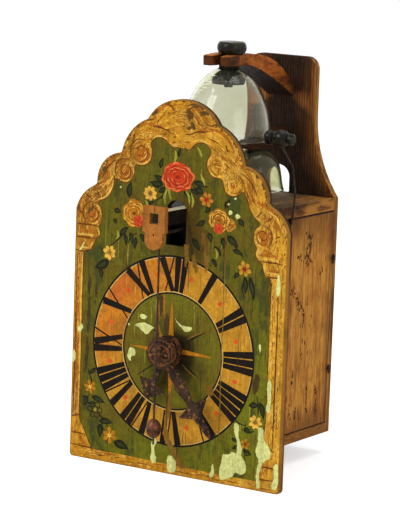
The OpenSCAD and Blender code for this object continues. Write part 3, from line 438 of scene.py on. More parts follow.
def back_zones(coat):
    """Warm rubbed edges, a golden side, a rusty band with a slanting lower edge and a black rest.
    """
    tree, x, z = coat.tree, coat.axis("X").size(), coat.axis("Z")
    drop = (NECK_TOP - z).most(0.0)
    arc = (ARC_RADIUS ** 2 - drop * drop).most(0.0).root()
    shift = coat.shift(60.0, (1, 1, 0.4), 0.03)
    inner = (ARC_X - arc).least(NECK_HALF) - x - shift
    fine, broad = coat.streaks(420.0), coat.streaks(150.0, (1, 1, 0.12))
    coat.lay(1.0 - inner.step(0.003, 0.019), tint(150, 94, 44), 0.45)
    band = ((z + shift * 0.7).step(0.301, 0.284)
            * (z + x * 0.81 + shift * 0.25).step(0.2975, 0.3085))
    rust = band * (broad - inner * 2.0).step(0.3, 0.54)
    coat.lay(band, tint(210, 132, 62), 0.8)
    coat.lay(rust, mix(tree, fine, tint(216, 128, 54), tint(120, 68, 30)), 0.6)
    warm = mix(tree, fine, tint(196, 124, 46), tint(98, 50, 16))
    coat.lay(1.0 - inner.step(0.0, 0.0085), warm, 0.9)
    ribs = Field(add(tree, "ShaderNodeTexWave",
                     {"Vector": squeezed(tree, (1, 1, 0.03)), "Scale": 128.0, "Distortion": 2.5,
                      "Detail": 3.0, "Detail Scale": 0.6}, bands_direction="X").outputs["Fac"])
    coat.lay(ribs.step(0.42, 0.16).most(fine.step(0.5, 0.62)), tint(15, 8, 4), 0.62)
    side = coat.axis("X", "Normal").size().step(0.4, 0.7)
    coat.lay(side, mix(tree, fine.step(0.4, 0.6), tint(196, 134, 56), tint(132, 80, 30)))


print("back board's neck is", round(2 * NECK_HALF / MM), "mm wide")

# %% [markdown]
# The door is burnt dark under the lid, as if a lamp had stood too near, and its golden middle is
# crossed by brown veins. Painted shadow blackens the seams where it meets the lid and the bottom
# board.

# %% Zones on the door
BURNT_Z, SEAM_TOP, SEAM_FOOT = 0.203, (0.2014, 0.2024), (0.0270, 0.0264)


def door_zones(coat):
    """A burnt corner under the lid, dark ends, a golden middle with brown veins, painted seam
    shadow.
    """
    y, z = coat.axis("Y"), coat.axis("Z")
    shift = coat.shift(55.0, (1, 1, 0.5), 0.07)
    veins, hairs = coat.streaks(300.0, (1, 1, 0.03)), coat.streaks(900.0, (1, 1, 0.04))
    patches, blotch = coat.streaks(60.0, (1, 1, 0.35)), coat.streaks(210.0, (1, 1, 0.45))
    for mask, tone, strength in (
            (patches.step(0.44, 0.6), tint(212, 150, 58), 0.7),
            (patches.step(0.5, 0.36), tint(160, 88, 28), 0.5),
            (blotch.step(0.53, 0.63), tint(224, 160, 72), 0.4),
            (blotch.step(0.45, 0.36), tint(122, 68, 26), 0.45),
            (veins.step(0.54, 0.66), tint(100, 56, 22), 0.6),
            (hairs.step(0.52, 0.6), tint(116, 66, 24), 0.55)):
        coat.lay(mask, tone, strength)
    near = y + 0.012 + ((BURNT_Z - z) * 1.3 - shift)
    coat.lay(near.step(0.062, 0.026), tint(38, 22, 12), 0.92)
    top, foot = (z + shift * 0.5).step(0.166, BURNT_Z), (z - shift * 0.8).step(0.05, 0.028)
    coat.lay(top.most(foot), tint(92, 52, 22), 0.6)
    coat.lay(y.step(0.074, 0.084) * veins.step(0.42, 0.5), tint(96, 56, 24), 0.6)
    # Painted shadow in the gaps under the lid and over the bottom board.
    coat.lay(z.step(*SEAM_TOP).most(z.step(*SEAM_FOOT)), tint(16, 9, 5))


print("door's seams at", SEAM_TOP[0], "and", SEAM_FOOT[0], "m")

# %% [markdown]
# The dial's bare edge is pale pine below and darker above, with a rim of ochre where the brush went
# over the corner, and the walls of its slot are painted near black as shade. The lid is sooty in
# front and dry behind.

# %% Zones on the dial's edge and the lid
SLOT_MIDDLE = 0.003


def side_zones(coat):
    """Darker on the upper part of the dial's edge, and painted shade on the walls of its slot."""
    x, y, z = (coat.axis(name) for name in "XYZ")
    shift = coat.shift(120.0, (1, 1, 0.5), 0.05)
    coat.lay((z + shift).step(0.15, 0.2), tint(46, 31, 17), 0.9)
    painted = (y + shift * 0.03).step(-0.0566, -0.0574) * shift.step(-0.012, -0.006)
    coat.lay(painted, tint(168, 114, 34))
    # Painted shade: the walls of the slot are near black, as inside the case.
    slot = ((x + SLOT_MIDDLE).size().step(0.0105, 0.01)
            * (z.step(0.1825, 0.183) * z.step(0.2215, 0.221)))
    coat.lay(slot, tint(14, 10, 8))


def lid_zones(coat):
    """A sooty front, pale dry patches and an orange rear corner on the case's top board."""
    tree = coat.tree
    x, y, z = (coat.axis(name) for name in "XYZ")
    shift, dry = coat.shift(50.0, (1, 0.5, 1), 0.1), coat.streaks(130.0, (1, 0.2, 1))
    coat.lay(dry.step(0.5, 0.62), tint(158, 128, 82), 0.6)
    coat.lay(dry.step(0.46, 0.34), tint(52, 34, 20), 0.7)
    rear = (y + shift).step(0.03, 0.075) * (x + shift * 0.4).step(0.028, 0.045)
    coat.lay(rear, tint(186, 122, 50), 0.75)
    coat.lay((y + shift).step(0.02, -0.02), tint(38, 27, 17), 0.85)
    burnt = mix(tree, dry.step(0.4, 0.56), tint(92, 50, 20), tint(30, 18, 10))
    golden = mix(tree, dry.step(0.45, 0.6), tint(190, 126, 50), tint(118, 68, 26))
    low_rear = (y * 0.2 - z + shift * 0.15).step(-0.206, -0.199)
    coat.lay(coat.axis("X", "Normal").step(0.4, 0.7), mix(tree, low_rear, burnt, golden))


print("dial slot's middle at x =", -SLOT_MIDDLE, "m")

# %% [markdown]
# The bell's arm is red-brown where the light falls, with painted shade on its underside, and
# charred at its ends. The front of the movement is painted black as shade behind the dial's slot,
# and the bridge's arm is pale on top with painted shade on its sides.

# %% Zones on the small woods


def arm_zones(coat):
    """The bell's arm: painted shade below, charred at its foot and tip, a painted highlight on the
    tip.
    """
    y, facing_up = coat.axis("Y"), coat.axis("Z", "Normal")
    shift, blotch = coat.shift(90.0, (1, 0.6, 1), 0.05), coat.streaks(130.0, (1, 0.5, 1))
    ends = (y + shift).step(0.006, -0.006).most((y + shift).step(0.066, 0.084))
    coat.lay(blotch.step(0.55, 0.42), tint(204, 114, 40), 0.6)
    coat.lay(blotch.step(0.54, 0.64), tint(60, 30, 12), 0.7)
    # Painted highlight: the top of the tip turns golden where it faces up.
    lit_tip = facing_up.step(0.6, 0.85) * y.step(0.02, 0.01)
    coat.lay(ends, mix(coat.tree, lit_tip, tint(48, 28, 14), tint(190, 112, 36)), 0.8)
    # Painted shade on every face that looks down.
    coat.lay(facing_up.step(-0.1, -0.5), tint(40, 22, 11))


def frame_zones(coat):
    """Painted shade: the front of the movement is near black behind the dial's slot."""
    y, z = coat.axis("Y"), coat.axis("Z")
    coat.lay(y.step(-0.02, -0.03) * z.step(0.15, 0.175), tint(16, 11, 7))


def bridge_zones(coat):
    """Painted light and shade: the bridge's arm keeps its pale wood on top, near black elsewhere.
    """
    top = coat.axis("Z", "Normal").step(0.4, 0.7)
    coat.colour = mix(coat.tree, top, tint(14, 11, 10), coat.colour)


print("zones ready for arm, frame and bridge")

# %% [markdown]
# With the recipe and the zones ready, each kind of wood on the clock takes a line or two.

# %% Woods
UPRIGHT, INWARD = (1, 1, 0.1), (1, 0.1, 1)
door_wood = wood("door_pine", tint(212, 144, 52), tint(170, 102, 32), tint(96, 52, 18), UPRIGHT,
                 bands=0.8, grime=0.35, worms=0.62, height=0.6, zones=door_zones)
back_wood = wood("dark_pine", tint(78, 48, 26), tint(34, 21, 13), tint(20, 12, 8), UPRIGHT,
                 bands=1.6, pores=0.7, grime=0.5, height=1.0, zones=back_zones)
top_wood = wood("top_pine", tint(128, 98, 58), tint(78, 54, 30), tint(44, 30, 18), INWARD,
                bands=0.9, grime=0.55, height=0.8, zones=lid_zones)
bottom_wood = wood("bottom_pine", tint(176, 116, 46), tint(112, 68, 26), tint(58, 34, 16), INWARD,
                   bands=0.9, grime=0.5, height=0.6)
frame_wood = wood("frame_beech", tint(170, 122, 66), tint(130, 86, 40), tint(86, 56, 28), UPRIGHT,
                  grime=0.35, zones=frame_zones)
wheel_wood = wood("wheel_beech", tint(160, 104, 48), tint(114, 68, 27), tint(74, 44, 18), UPRIGHT,
                  grime=0.35)
arm_wood = wood("arm_beech", tint(176, 94, 32), tint(116, 54, 17), tint(46, 23, 10), INWARD,
                bands=0.9, grime=0.45, rough=0.5, height=0.8, zones=arm_zones)
# The bridge's pale wood stands for its lit top; its zones paint shade on its sides.
bridge_wood = wood("bridge_beech", tint(214, 206, 172), tint(172, 160, 122), tint(70, 58, 40),
                   INWARD, grime=0.5, zones=bridge_zones)
side_wood = wood("dial_edge", tint(160, 108, 50), tint(108, 66, 28), tint(52, 32, 16), UPRIGHT,
                 grime=0.5, height=0.7, zones=side_zones)
# The small bell's arm is a dark copy of the arm's beech: painted shade under the big bell.
shaded_small_arm_wood = wood("small_arm_beech_in_shade", tint(74, 42, 18), tint(38, 21, 10), tint(20, 12, 7),
                      INWARD, grime=0.5, height=0.6)
print("woods made:", ", ".join(m.name for m in bpy.data.materials if m.use_nodes))

# %% [markdown]
# The knob, the button and the hammer heads are turned wood under black lacquer: nearly smooth,
# with a worn sheen that varies where fingers have polished it.

# %% Lacquer


def lacquer(name, base, worn, rough):
    """Black lacquer that has gone a little brown and dull in clouds."""
    material, tree, shader = start_material(name, Specular_IOR_Level=0.14)
    soot = place_group(tree, grime_group, {"Vector": object_place(tree), "Cloud size": 90.0,
                                           "Speck size": 700.0})
    feed(shader, {"Base Color": mix(tree, soot["Clouds"] * 0.7, base, worn),
                  "Roughness": soot["Clouds"].spread(rough, rough + 0.25),
                  "Normal": relief(tree, 0.2, 0.4 * MM, soot["Specks"])})
    return material


black_wood = lacquer("black_wood", tint(24, 20, 11), tint(66, 58, 36), 0.24)
print("lacquer made:", black_wood.name)

# %% [markdown]
# Iron shows as three finishes: drawn wire that has gone dark, the reddish bob, and hands that are
# thick with rust and bright only where they are rubbed. The wire and the bob share one recipe of
# two tones in patches, rougher where the second tone lies.

# %% Metals
PITS = 0.6 * MM


def metal(name, base, second, rough, metallic, patch=120.0, height=0.3, spec=0.4):
    """Metal in two tones that follow a patchy mask, rougher where the second one lies."""
    material, tree, shader = start_material(name, Specular_IOR_Level=spec)
    place = object_place(tree)
    patches, grit = cloud(tree, place, patch, 6.0, 0.7), cloud(tree, place, 900.0, 3.0)
    mask = patches.step(0.42, 0.6)
    feed(shader, {"Base Color": mix(tree, mask, base, second),
                  "Metallic": mask.spread(metallic, 0.1),
                  "Roughness": mask.spread(rough, 0.85),
                  "Normal": relief(tree, height, PITS, patches + grit * 0.4)})
    return material


wire_iron = metal("iron_wire", tint(66, 50, 36), tint(36, 26, 18), 0.5, 0.4, spec=0.25)
bob_brass = metal("old_brass", tint(104, 58, 28), tint(50, 28, 14), 0.4, 0.4, 130.0, 0.5, 0.3)
print("metals made:", wire_iron.name, "and", bob_brass.name)

# %% [markdown]
# The hands were forged, and the hub where they meet has rings that wander like growth rings. The
# distance from the hub, bent by noise and put through a sine, gives them without a mesh for each.

# %% Rusty hands
HUB_X, HUB_Z = 0.003, 0.1005
RINGS_PER_METRE = 1500.0


def hand_metal():
    """Forged iron under thick rust: near black, orange on raised and rubbed places."""
    material, tree, shader = start_material("rusty_iron", Specular_IOR_Level=0.2)
    place = object_place(tree)
    lumps, broad = cloud(tree, place, 260.0, 5.0, 0.7), cloud(tree, place, 90.0, 3.0)
    coat = Coat(tree, mix(tree, broad.step(0.42, 0.58), tint(25, 18, 13), tint(60, 40, 24)))
    radius = distance(coat.axis("X") + HUB_X, coat.axis("Z") - HUB_Z)
    swirl = (radius * RINGS_PER_METRE + broad * 22.0).sine()
    rings = swirl.step(0.1, 0.8) * radius.step(0.0165, 0.0145)
    bright = lumps.step(0.53, 0.62)
    coat.lay(bright, tint(152, 98, 52), 0.65)
    coat.lay(rings, tint(146, 84, 40), 0.45)
    coat.lay(lumps.step(0.54, 0.6) * radius.step(0.0125, 0.009), tint(176, 118, 54), 0.45)
    feed(shader, {"Base Color": coat.colour,
                  "Metallic": bright.spread(0.15, 0.3),
                  "Roughness": bright.spread(0.75, 0.5),
                  "Normal": relief(tree, 1.0, 2 * PITS, lumps + rings * 0.6)})
    return material


hand_iron = hand_metal()
print("metal made:", hand_iron.name)

# %% [markdown]
# The washer inside the bell is cork that has soaked up dust and oil. Its surface is a crumb of
# small dark grains, which the cells of a Voronoi texture give in both colour and height.

# %% Cork
cork, tree, shader = start_material("cork", Roughness=0.8, Specular_IOR_Level=0.06)
crumbs = add(tree, "ShaderNodeTexVoronoi",
             {"Vector": object_place(tree), "Scale": 420.0}).outputs["Distance"]
crumb_tone = ramp(tree, crumbs,
                  [(0.1, tint(34, 34, 23)), (0.6, tint(18, 18, 12)), (0.9, tint(54, 52, 36))])
feed(shader, {"Base Color": crumb_tone, "Normal": relief(tree, 0.5, 0.5 * MM, crumbs)})
print("cork made with", len(tree.nodes), "nodes")

# %% [markdown]
# The bells are blown glass with a green-grey cast and a thin film of dust. Nearly all light goes
# through, and a low index keeps the thin wall from bending the view as a solid lump would. Only the
# tint and the roughness vary, with streaks that run round from the blowing.

# %% Glass
DUST_FILM = 0.01


def blown_glass(name, clear, smoky):
    """Old glass: a tinted, nearly clear wall with dusty streaks."""
    material, tree, shader = start_material(name, Transmission_Weight=0.985, IOR=1.25)
    streaks = cloud(tree, squeezed(tree, (1, 1, 3)), 38.0, 3.0)
    feed(shader, {"Base Color": mix(tree, streaks.step(0.35, 0.7), clear, smoky),
                  "Roughness": streaks.spread(DUST_FILM, DUST_FILM + 0.08),
                  "Normal": relief(tree, 0.1, MM, streaks)})
    return material


bell_glass = blown_glass("bell_glass", (1.0, 0.995, 0.85, 1), (0.93, 0.935, 0.75, 1))
small_glass = blown_glass("small_bell_glass", (0.97, 0.98, 0.7, 1), (0.82, 0.83, 0.56, 1))
print("glass made:", bell_glass.name, "and", small_glass.name)

# %% [markdown]
# Each node of the frame gets the finish that its slot in the record names, and four nodes then get
# one of their own. A frame node keeps its mesh: only the material in its slots is new.

# %% Finish every node
slot_finish = {
    "painted_pine": side_wood, "door_pine": door_wood, "dark_pine": back_wood,
    "top_pine": top_wood, "frame_beech": frame_wood, "wheel_beech": wheel_wood,
    "arm_beech": arm_wood, "black_wood": black_wood, "iron_wire": wire_iron,
    "rusty_iron": hand_iron, "old_brass": bob_brass, "cork": cork, "bell_glass": bell_glass,
}
slot_of = {row["node"]: row.get("material_slot") for row in frame["record"]["subparts"]}


def finish(node_name, material):
    """Gives every material slot of a frame node one finish."""
    holder = nodes[node_name]
    if not holder.material_slots:
        holder.data.materials.append(material)
    for entry in holder.material_slots:
        entry.material = material


for node_name in nodes:
    finish(node_name, slot_finish[slot_of[node_name]])
finish("small_bell", small_glass)
finish("bottom_board", bottom_wood)
finish("bridge_arm", bridge_wood)
finish("small_bell_arm", shaded_small_arm_wood)
print("nodes finished:", len(nodes), "with", len(set(slot_finish)), "kinds of finish")

# %% [markdown]
# Paint is laid on the dial as thin closed leaves, each a little higher than the one below, in the
# order in which the painter worked: ochre border, green field, chapter ring, numerals, flowers.
# It could all be one painted picture, but real leaves of paint keep crisp edges from any distance,
# and each colour can have its own wear. First come smooth lines and brush strokes. A stroke is a
# line with a width at each point, thin where the brush touches down and where it lifts.

# %% Curves and strokes


def smooth_line(points, steps=6, closed=False):
    """Catmull-Rom curve through the points, as a dense list."""
    points = [Vector(p) for p in points]
    count = len(points)
    out = []
    spans = count if closed else count - 1
    for i in range(spans):
        if closed:
            p0, p1, p2, p3 = (points[(i + k - 1) % count] for k in range(4))
        else:
            p0, p1 = points[max(i - 1, 0)], points[i]
            p2, p3 = points[i + 1], points[min(i + 2, count - 1)]
        for k in range(steps):
            t = k / steps
            out.append(0.5 * ((2 * p1) + (p2 - p0) * t + (2 * p0 - 5 * p1 + 4 * p2 - p3) * t * t
                              + (3 * p1 - p0 - 3 * p2 + p3) * t ** 3))
    if not closed:
        out.append(points[-1])
    return out


def brush(points, widths, steps=6, smooth=True):
    """A stroke's outline: a line with a width at each given point, blended between them."""
    line = smooth_line(points, steps) if smooth else [Vector(p) for p in points]
    last = len(line) - 1
    left, right_side = [], []
    for i, p in enumerate(line):
        ahead = line[min(i + 1, last)] - line[max(i - 1, 0)]
        if ahead.length < 1e-6:
            continue
        side = Vector((-ahead.y, ahead.x)).normalized()
        place = i / last * (len(widths) - 1)
        low = min(int(place), len(widths) - 2)
        w = widths[low] + (widths[low + 1] - widths[low]) * (place - low)
        left.append(p + side * w / 2)
        right_side.append(p - side * w / 2)
    return left + right_side[::-1]


print("outline of one stroke:", len(brush([(0, 0), (4, 2), (8, 0)], [0.2, 1.0, 0.2])), "points")

# %% [markdown]
# Dabs, petals and flakes start as ovals that a few waves make restless, so that no two are alike. A
# leaf is two arcs that meet at its tip, fullest near its base.

# %% Spots and leaves


def on_oval(cx, cz, rx, rz, angle):
    """The place on an oval's edge at an angle in radians."""
    return cx + rx * math.cos(angle), cz + rz * math.sin(angle)


def oval(cx, cz, rx, rz, turn_deg=0.0, wobble=0.0, seed=0, count=28):
    """A rounded spot, ragged by wobble."""
    dice = random.Random(seed)
    phases = [(k, dice.uniform(0, 6.28), dice.uniform(0.3, 1)) for k in (2, 3, 5, 7)]
    angle = math.radians(turn_deg)
    out = []
    for i in range(count):
        a = 2 * math.pi * i / count
        r = 1 + wobble * sum(s / k * math.sin(k * a + ph) for k, ph, s in phases)
        x, z = on_oval(0, 0, rx * r, rz * r, a)
        out.append(Vector((cx + x * math.cos(angle) - z * math.sin(angle),
                           cz + x * math.sin(angle) + z * math.cos(angle))))
    return out


def leaf(base, tip, width, curve=0.0):
    """A leaf between two points, fullest near its base."""
    base, tip = Vector(base), Vector(tip)
    along = tip - base
    side = Vector((-along.y, along.x)).normalized()
    upper, lower = [], []
    for t in (0, 0.12, 0.28, 0.45, 0.62, 0.8, 1):
        centre = base + along * t + side * curve * math.sin(math.pi * t)
        half = width / 2 * math.sin(math.pi * t ** 0.8)
        upper.append(centre + side * half)
        lower.append(centre - side * half)
    return smooth_line(upper, 3) + smooth_line(lower[::-1], 3)


print("an oval has", len(oval(0, 0, 2, 1)), "points, a leaf", len(leaf((0, 0), (8, 3), 4)))

# %% [markdown]
# Strokes of one colour cross each other. To fill them as one shape, without doubled faces, a place
# counts as painted when at least one outline winds round it.

# %% Inside or outside


def winding(p, outline):
    """How often the outline goes round the point."""
    turns = 0
    for a, b in zip(outline, outline[1:] + outline[:1]):
        if a.y <= p.y < b.y and (b.x - a.x) * (p.y - a.y) > (p.x - a.x) * (b.y - a.y):
            turns += 1
        elif b.y <= p.y < a.y and (b.x - a.x) * (p.y - a.y) < (p.x - a.x) * (b.y - a.y):
            turns -= 1
    return turns


def boxed(outlines):
    """Each outline with its low and high corner, for quick tests."""
    return [(o, min(p.x for p in o), max(p.x for p in o), min(p.y for p in o), max(p.y for p in o))
            for o in outlines]


def within(p, boxes):
    """Whether any of the boxed outlines winds round the point."""
    return any(x0 <= p.x <= x1 and y0 <= p.y <= y1 and winding(p, o)
               for o, x0, x1, y0, y1 in boxes)


print("middle of an oval is inside:", within(Vector((0, 0)), boxed([oval(0, 0, 2, 1)])))

# %% [markdown]
# A constrained triangulation fills the plane between all the outlines of a layer. Of its triangles
# only those inside a stroke are kept, outside the holes and within the limit. Joining the strokes
# one by one with booleans would be slower and would fail where edges lie on each other.

# %% Filling outlines
SAME_POINT, TOLERANCE = 0.02, 1e-4


def flat_region(outlines, holes=(), limit=None):
    """The union of outlines without the holes, within the limit, as points and triangles."""
    points, edges, shapes = [], [], []
    for kind, group in (("solid", outlines), ("hole", holes), ("limit", [limit] if limit else [])):
        for outline in group:
            clean = []
            for p in outline:
                if not clean or (Vector(p) - clean[-1]).length > SAME_POINT:
                    clean.append(Vector(p))
            if (clean[0] - clean[-1]).length < SAME_POINT:
                clean.pop()
            start = len(points)
            points += clean
            edges += [(start + k, start + (k + 1) % len(clean)) for k in range(len(clean))]
            shapes.append((kind, clean))
    solid, empty, area = (boxed([c for k, c in shapes if k == kind])
                          for kind in ("solid", "hole", "limit"))
    verts, faces = delaunay_2d_cdt(points, edges, [], 0, TOLERANCE)[:3:2]
    kept = []
    for face in faces:
        middle = sum((verts[k] for k in face), Vector((0, 0))) / len(face)
        painted = within(middle, solid) and not within(middle, empty)
        if painted and (not area or within(middle, area)):
            kept.append(face)
    return verts, kept


print("triangles in a ring:", len(flat_region([oval(0, 0, 4, 4)], [oval(0, 0, 2, 2)])[1]))

# %% [markdown]
# A layer of paint has a front, a back sunk a little into the wood, and a narrow side all round, so
# that it's a closed solid. Heights are in millimetres before the face that carries it.

# %% Paint layer


def on_dial(p, lift):
    """A place on the dial's face, lift mm in front of it."""
    return at(p.x, -lift, p.y)


def paint_layer(name, outlines, height, material, body="case", place=on_dial, sunk=0.3,
                holes=(), limit=None):
    """Closed thin leaves of paint that stand height mm proud of the face they are placed on."""
    verts, faces = flat_region(outlines, holes, limit)
    shape = bmesh.new()
    front = [shape.verts.new(place(p, height)) for p in verts]
    rear = [shape.verts.new(place(p, -sunk)) for p in verts]
    sides = {}
    for face in faces:
        a, b, c = face
        flip = (verts[b] - verts[a]).cross(verts[c] - verts[a]) < 0
        ring = (a, c, b) if flip else (a, b, c)
        shape.faces.new([front[k] for k in ring])
        shape.faces.new([rear[k] for k in reversed(ring)])
        for m in range(3):
            sides[(ring[m], ring[(m + 1) % 3])] = True
    for m, n in sides:
        if (n, m) not in sides:
            shape.faces.new((front[n], front[m], rear[m], rear[n]))
    loose = [v for v in shape.verts if not v.link_faces]
    bmesh.ops.delete(shape, geom=loose, context="VERTS")
    mesh = bpy.data.meshes.new(name)
    shape.to_mesh(mesh)
    shape.free()
    piece = bpy.data.objects.new(name, mesh)
    piece.data.materials.append(material)
    scene.collection.objects.link(piece)
    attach(piece, body)
    print("paint layer", name, "with", len(outlines), "strokes and", len(faces), "triangles")
    return piece


print("dial's face is at a depth of", round(on_dial(Vector((0, 0)), 0).y / MM, 2), "mm")

# %% [markdown]
# Old distemper has a life of its own: the brush left streaks, the wood's upright grain telegraphs
# through, smoke has browned it in clouds, and fine cracks cross it. One group turns any fresh
# colour into that aged one, so that neighbouring colours age together.

# %% Aged paint group
aged_group, given, ends = start_group(
    "Aged paint",
    [("Color", COLOUR, (0.5, 0.5, 0.5, 1)), ("Browning", NUMBER, 0.4), ("Streaks", NUMBER, 0.3)],
    [("Color", COLOUR), ("Height", NUMBER), ("Roughness", NUMBER)])
place = object_place(aged_group)
grain_lines = cloud(aged_group, squeezed(aged_group, (1, 1, 0.06)), 420.0, 4.0)
clouds = cloud(aged_group, place, 34.0, 6.0, 0.65)
mottle = cloud(aged_group, place, 230.0, 5.0, 0.7)
flecks = cloud(aged_group, place, 640.0, 4.0, 0.75)
crackle = Field(add(aged_group, "ShaderNodeTexVoronoi", {"Vector": place, "Scale": 300.0},
                    feature="DISTANCE_TO_EDGE").outputs["Distance"])
tone = (mottle.spread(0.74, 1.2, 0.3, 0.7) * grain_lines.spread(0.86, 1.1, 0.35, 0.65)
        * flecks.spread(0.8, 1.12, 0.34, 0.62))
lit = add(aged_group, "ShaderNodeVectorMath", {0: given["Color"], "Scale": tone},
          operation="SCALE")
coat = Coat(aged_group, lit.outputs["Vector"])
coat.lay(clouds.step(0.42, 0.72), tint(96, 56, 22), given["Browning"])
coat.lay(grain_lines.step(0.6, 0.7), tint(70, 48, 24), given["Streaks"])
raised = crackle.step(0.0, 0.06) * 0.25 + (grain_lines * 0.6 + mottle * 0.4)
feed(ends, {"Color": coat.colour, "Height": raised, "Roughness": mottle.spread(0.45, 0.7)})
print("group made:", aged_group.name)

# %% [markdown]
# The green, the ochre and the ring weren't painted evenly, and two centuries haven't helped. The
# green is fresher low on the right and in the ring, darker round the hub, with a painted shadow of
# the hub below and to the right of it, and smoky beside the slot. The border is yellower on its
# right, and the ring is red and worn on its upper left.

# %% Zones on the paint


def green_zones(coat):
    """Fresher low right and in the ring; smoky by the slot; darker round the hub; painted hub
    shadow.
    """
    x, z = coat.axis("X"), coat.axis("Z")
    shift, daub = coat.shift(45.0, (1, 1, 0.6), 0.1), coat.streaks(70.0, (1, 1, 0.45))
    coat.lay((x * 0.7 - z + shift).step(-0.12, 0.0), tint(104, 106, 18))
    coat.lay(daub.step(0.48, 0.38), tint(52, 62, 27), 0.75)
    coat.lay(daub.step(0.56, 0.66), tint(124, 118, 36), 0.4)
    radius = distance(x + 0.003, z - 0.0995)
    coat.lay(radius.step(0.048, 0.044), tint(104, 98, 22))
    coat.lay((radius + shift * 0.35).step(0.036, 0.014), tint(52, 38, 16), 0.55)
    # Painted shadow of the hub below it.
    under = (radius + shift * 0.5).step(0.04, 0.02) * z.step(0.098, 0.088)
    coat.lay(under, tint(40, 30, 14), 0.6)
    # Painted shadow of the hub to its right.
    beside = distance(x - 0.0035, z - 0.1)
    coat.lay((beside + shift * 0.12).step(0.0185, 0.0125), tint(26, 20, 12), 0.85)
    slot_smoke = (((x - 0.009).size() + shift * 0.5).step(0.022, 0.006)
                  * (z.step(0.165, 0.182) * z.step(0.236, 0.214)))
    coat.lay(slot_smoke, tint(72, 50, 18), 0.6)


def ochre_zones(coat):
    """Yellower on the right of the border, browner on the upper left, dabbed all over."""
    x, z = coat.axis("X"), coat.axis("Z")
    shift, daub = coat.shift(50.0, (1, 1, 0.6), 0.08), coat.streaks(120.0, (1, 1, 0.6))
    coat.lay((x + shift).step(0.015, 0.06), tint(210, 160, 50), 0.55)
    upper_left = (x + shift).step(-0.02, -0.06) * (z + shift).step(0.16, 0.19)
    coat.lay(upper_left, tint(146, 96, 26), 0.8)
    coat.lay(daub.step(0.53, 0.64), tint(226, 182, 88), 0.45)
    coat.lay(daub.step(0.45, 0.36), tint(150, 88, 24), 0.5)


def ring_zones(coat):
    """Redder and worn on the upper left of the ring."""
    x, z = coat.axis("X"), coat.axis("Z")
    shift = coat.shift(60.0, (1, 1, 0.6), 0.08)
    coat.lay((z - x * 1.1 + shift).step(0.118, 0.19), tint(196, 112, 30), 0.75)
    patch = distance(x + 0.054, z - 0.146)
    coat.lay((patch + shift * 0.4).step(0.018, 0.006), tint(184, 88, 36), 0.62)


print("zones ready for the green, the border and the ring")

# %% [markdown]
# A paint is its fresh colour, how far smoke has browned it and how strongly the grain shows. The
# strokes of one colour share one material, as they came from one pot.

# %% Paints


def paint(name, colour, browning=0.4, streaks=0.3, height=0.35, zones=None):
    """One old paint colour, with a function for special places if it has any."""
    material, tree, shader = start_material(name, Specular_IOR_Level=0.07)
    coat = Coat(tree, colour)
    if zones:
        zones(coat)
    aged = place_group(tree, aged_group,
                       {"Color": coat.colour, "Browning": browning, "Streaks": streaks})
    feed(shader, {"Base Color": aged["Color"], "Roughness": aged["Roughness"],
                  "Normal": relief(tree, height, 0.4 * MM, aged["Height"])})
    return material


ochre_paint = paint("paint_ochre", tint(194, 136, 30), 0.55, 0.4, zones=ochre_zones)
ochre_light = paint("paint_ochre_light", tint(218, 170, 72), 0.25, 0.1)
ochre_brown = paint("paint_ochre_brown", tint(146, 90, 24), 0.3, 0.1)
border_shade = paint("paint_border_shade", tint(166, 98, 24), 0.3, 0.2)
border_line = paint("paint_border_line", tint(98, 50, 16), 0.3, 0.2)
green_paint = paint("paint_green", tint(94, 88, 18), 0.4, 0.7, zones=green_zones)
ring_paint = paint("paint_ring", tint(192, 138, 39), 0.5, 0.75, zones=ring_zones)
black_paint = paint("paint_black", tint(22, 18, 14), 0.08, 0.1)
cream_paint = paint("paint_cream", tint(206, 168, 96), 0.3, 0.2)
dot_paint = paint("paint_dot", tint(206, 84, 34), 0.2, 0.1)
red_paint = paint("paint_red", tint(186, 58, 24), 0.15, 0.1)
dark_red_paint = paint("paint_dark_red", tint(150, 36, 18), 0.15, 0.1)
pink_paint = paint("paint_pink", tint(222, 112, 58), 0.1, 0.1)
yellow_paint = paint("paint_yellow", tint(222, 170, 66), 0.15, 0.1)
orange_paint = paint("paint_orange", tint(182, 116, 22), 0.25, 0.1)
dull_orange = paint("paint_dull_orange", tint(156, 98, 28), 0.3, 0.2)
umber_paint = paint("paint_umber", tint(118, 66, 18), 0.2, 0.1)
leaf_paint = paint("paint_leaf", tint(31, 32, 15), 0.1, 0.1)
leaf_light = paint("paint_leaf_light", tint(47, 55, 27), 0.1, 0.1)
lime_paint = paint("paint_lime", tint(150, 146, 50), 0.1, 0.1)
stain_paint = paint("paint_stain", tint(66, 54, 24), 0.3, 0.4)
soot_paint = paint("paint_soot", tint(92, 66, 28), 0.3, 0.4)
worm_dark = paint("worm_hole", tint(66, 34, 16), 0.1, 0.1)
rust_stain = paint("paint_rust_stain", tint(134, 98, 34), 0.7, 0.9)
bare_ground = paint("bare_ground", tint(206, 207, 130), 0.08, 0.1, 0.5)
plate_paint = paint("paint_plate", tint(166, 104, 42), 0.95, 0.8)
print("paints made:", sum(m.name.startswith("paint_") for m in bpy.data.materials))

# %% [markdown]
# The dial's own edge is the outline of the border. The board itself stays bare at its sides, and
# the ochre ground covers its face to just short of the edge. Its lobes are arcs: a shoulder, two
# side lobes and the crest, drawn for the right half and mirrored for the left.

# %% The dial's outline
SIDE, SHOULDER, CREST = 100.0, 198.0, 101.5
EDGE_MARGIN = 0.9


def lobe_arc(cx, cz, rx, rz, a0, a1):
    """One lobe, in shares of the half width and of the crest's height."""
    count = math.ceil((a1 - a0) / 6)
    arc = [on_oval(cx, cz, rx, rz, math.radians(a0 + (a1 - a0) * i / count))
           for i in range(count + 1)]
    return [(SIDE * x, SHOULDER + CREST * z) for x, z in arc]


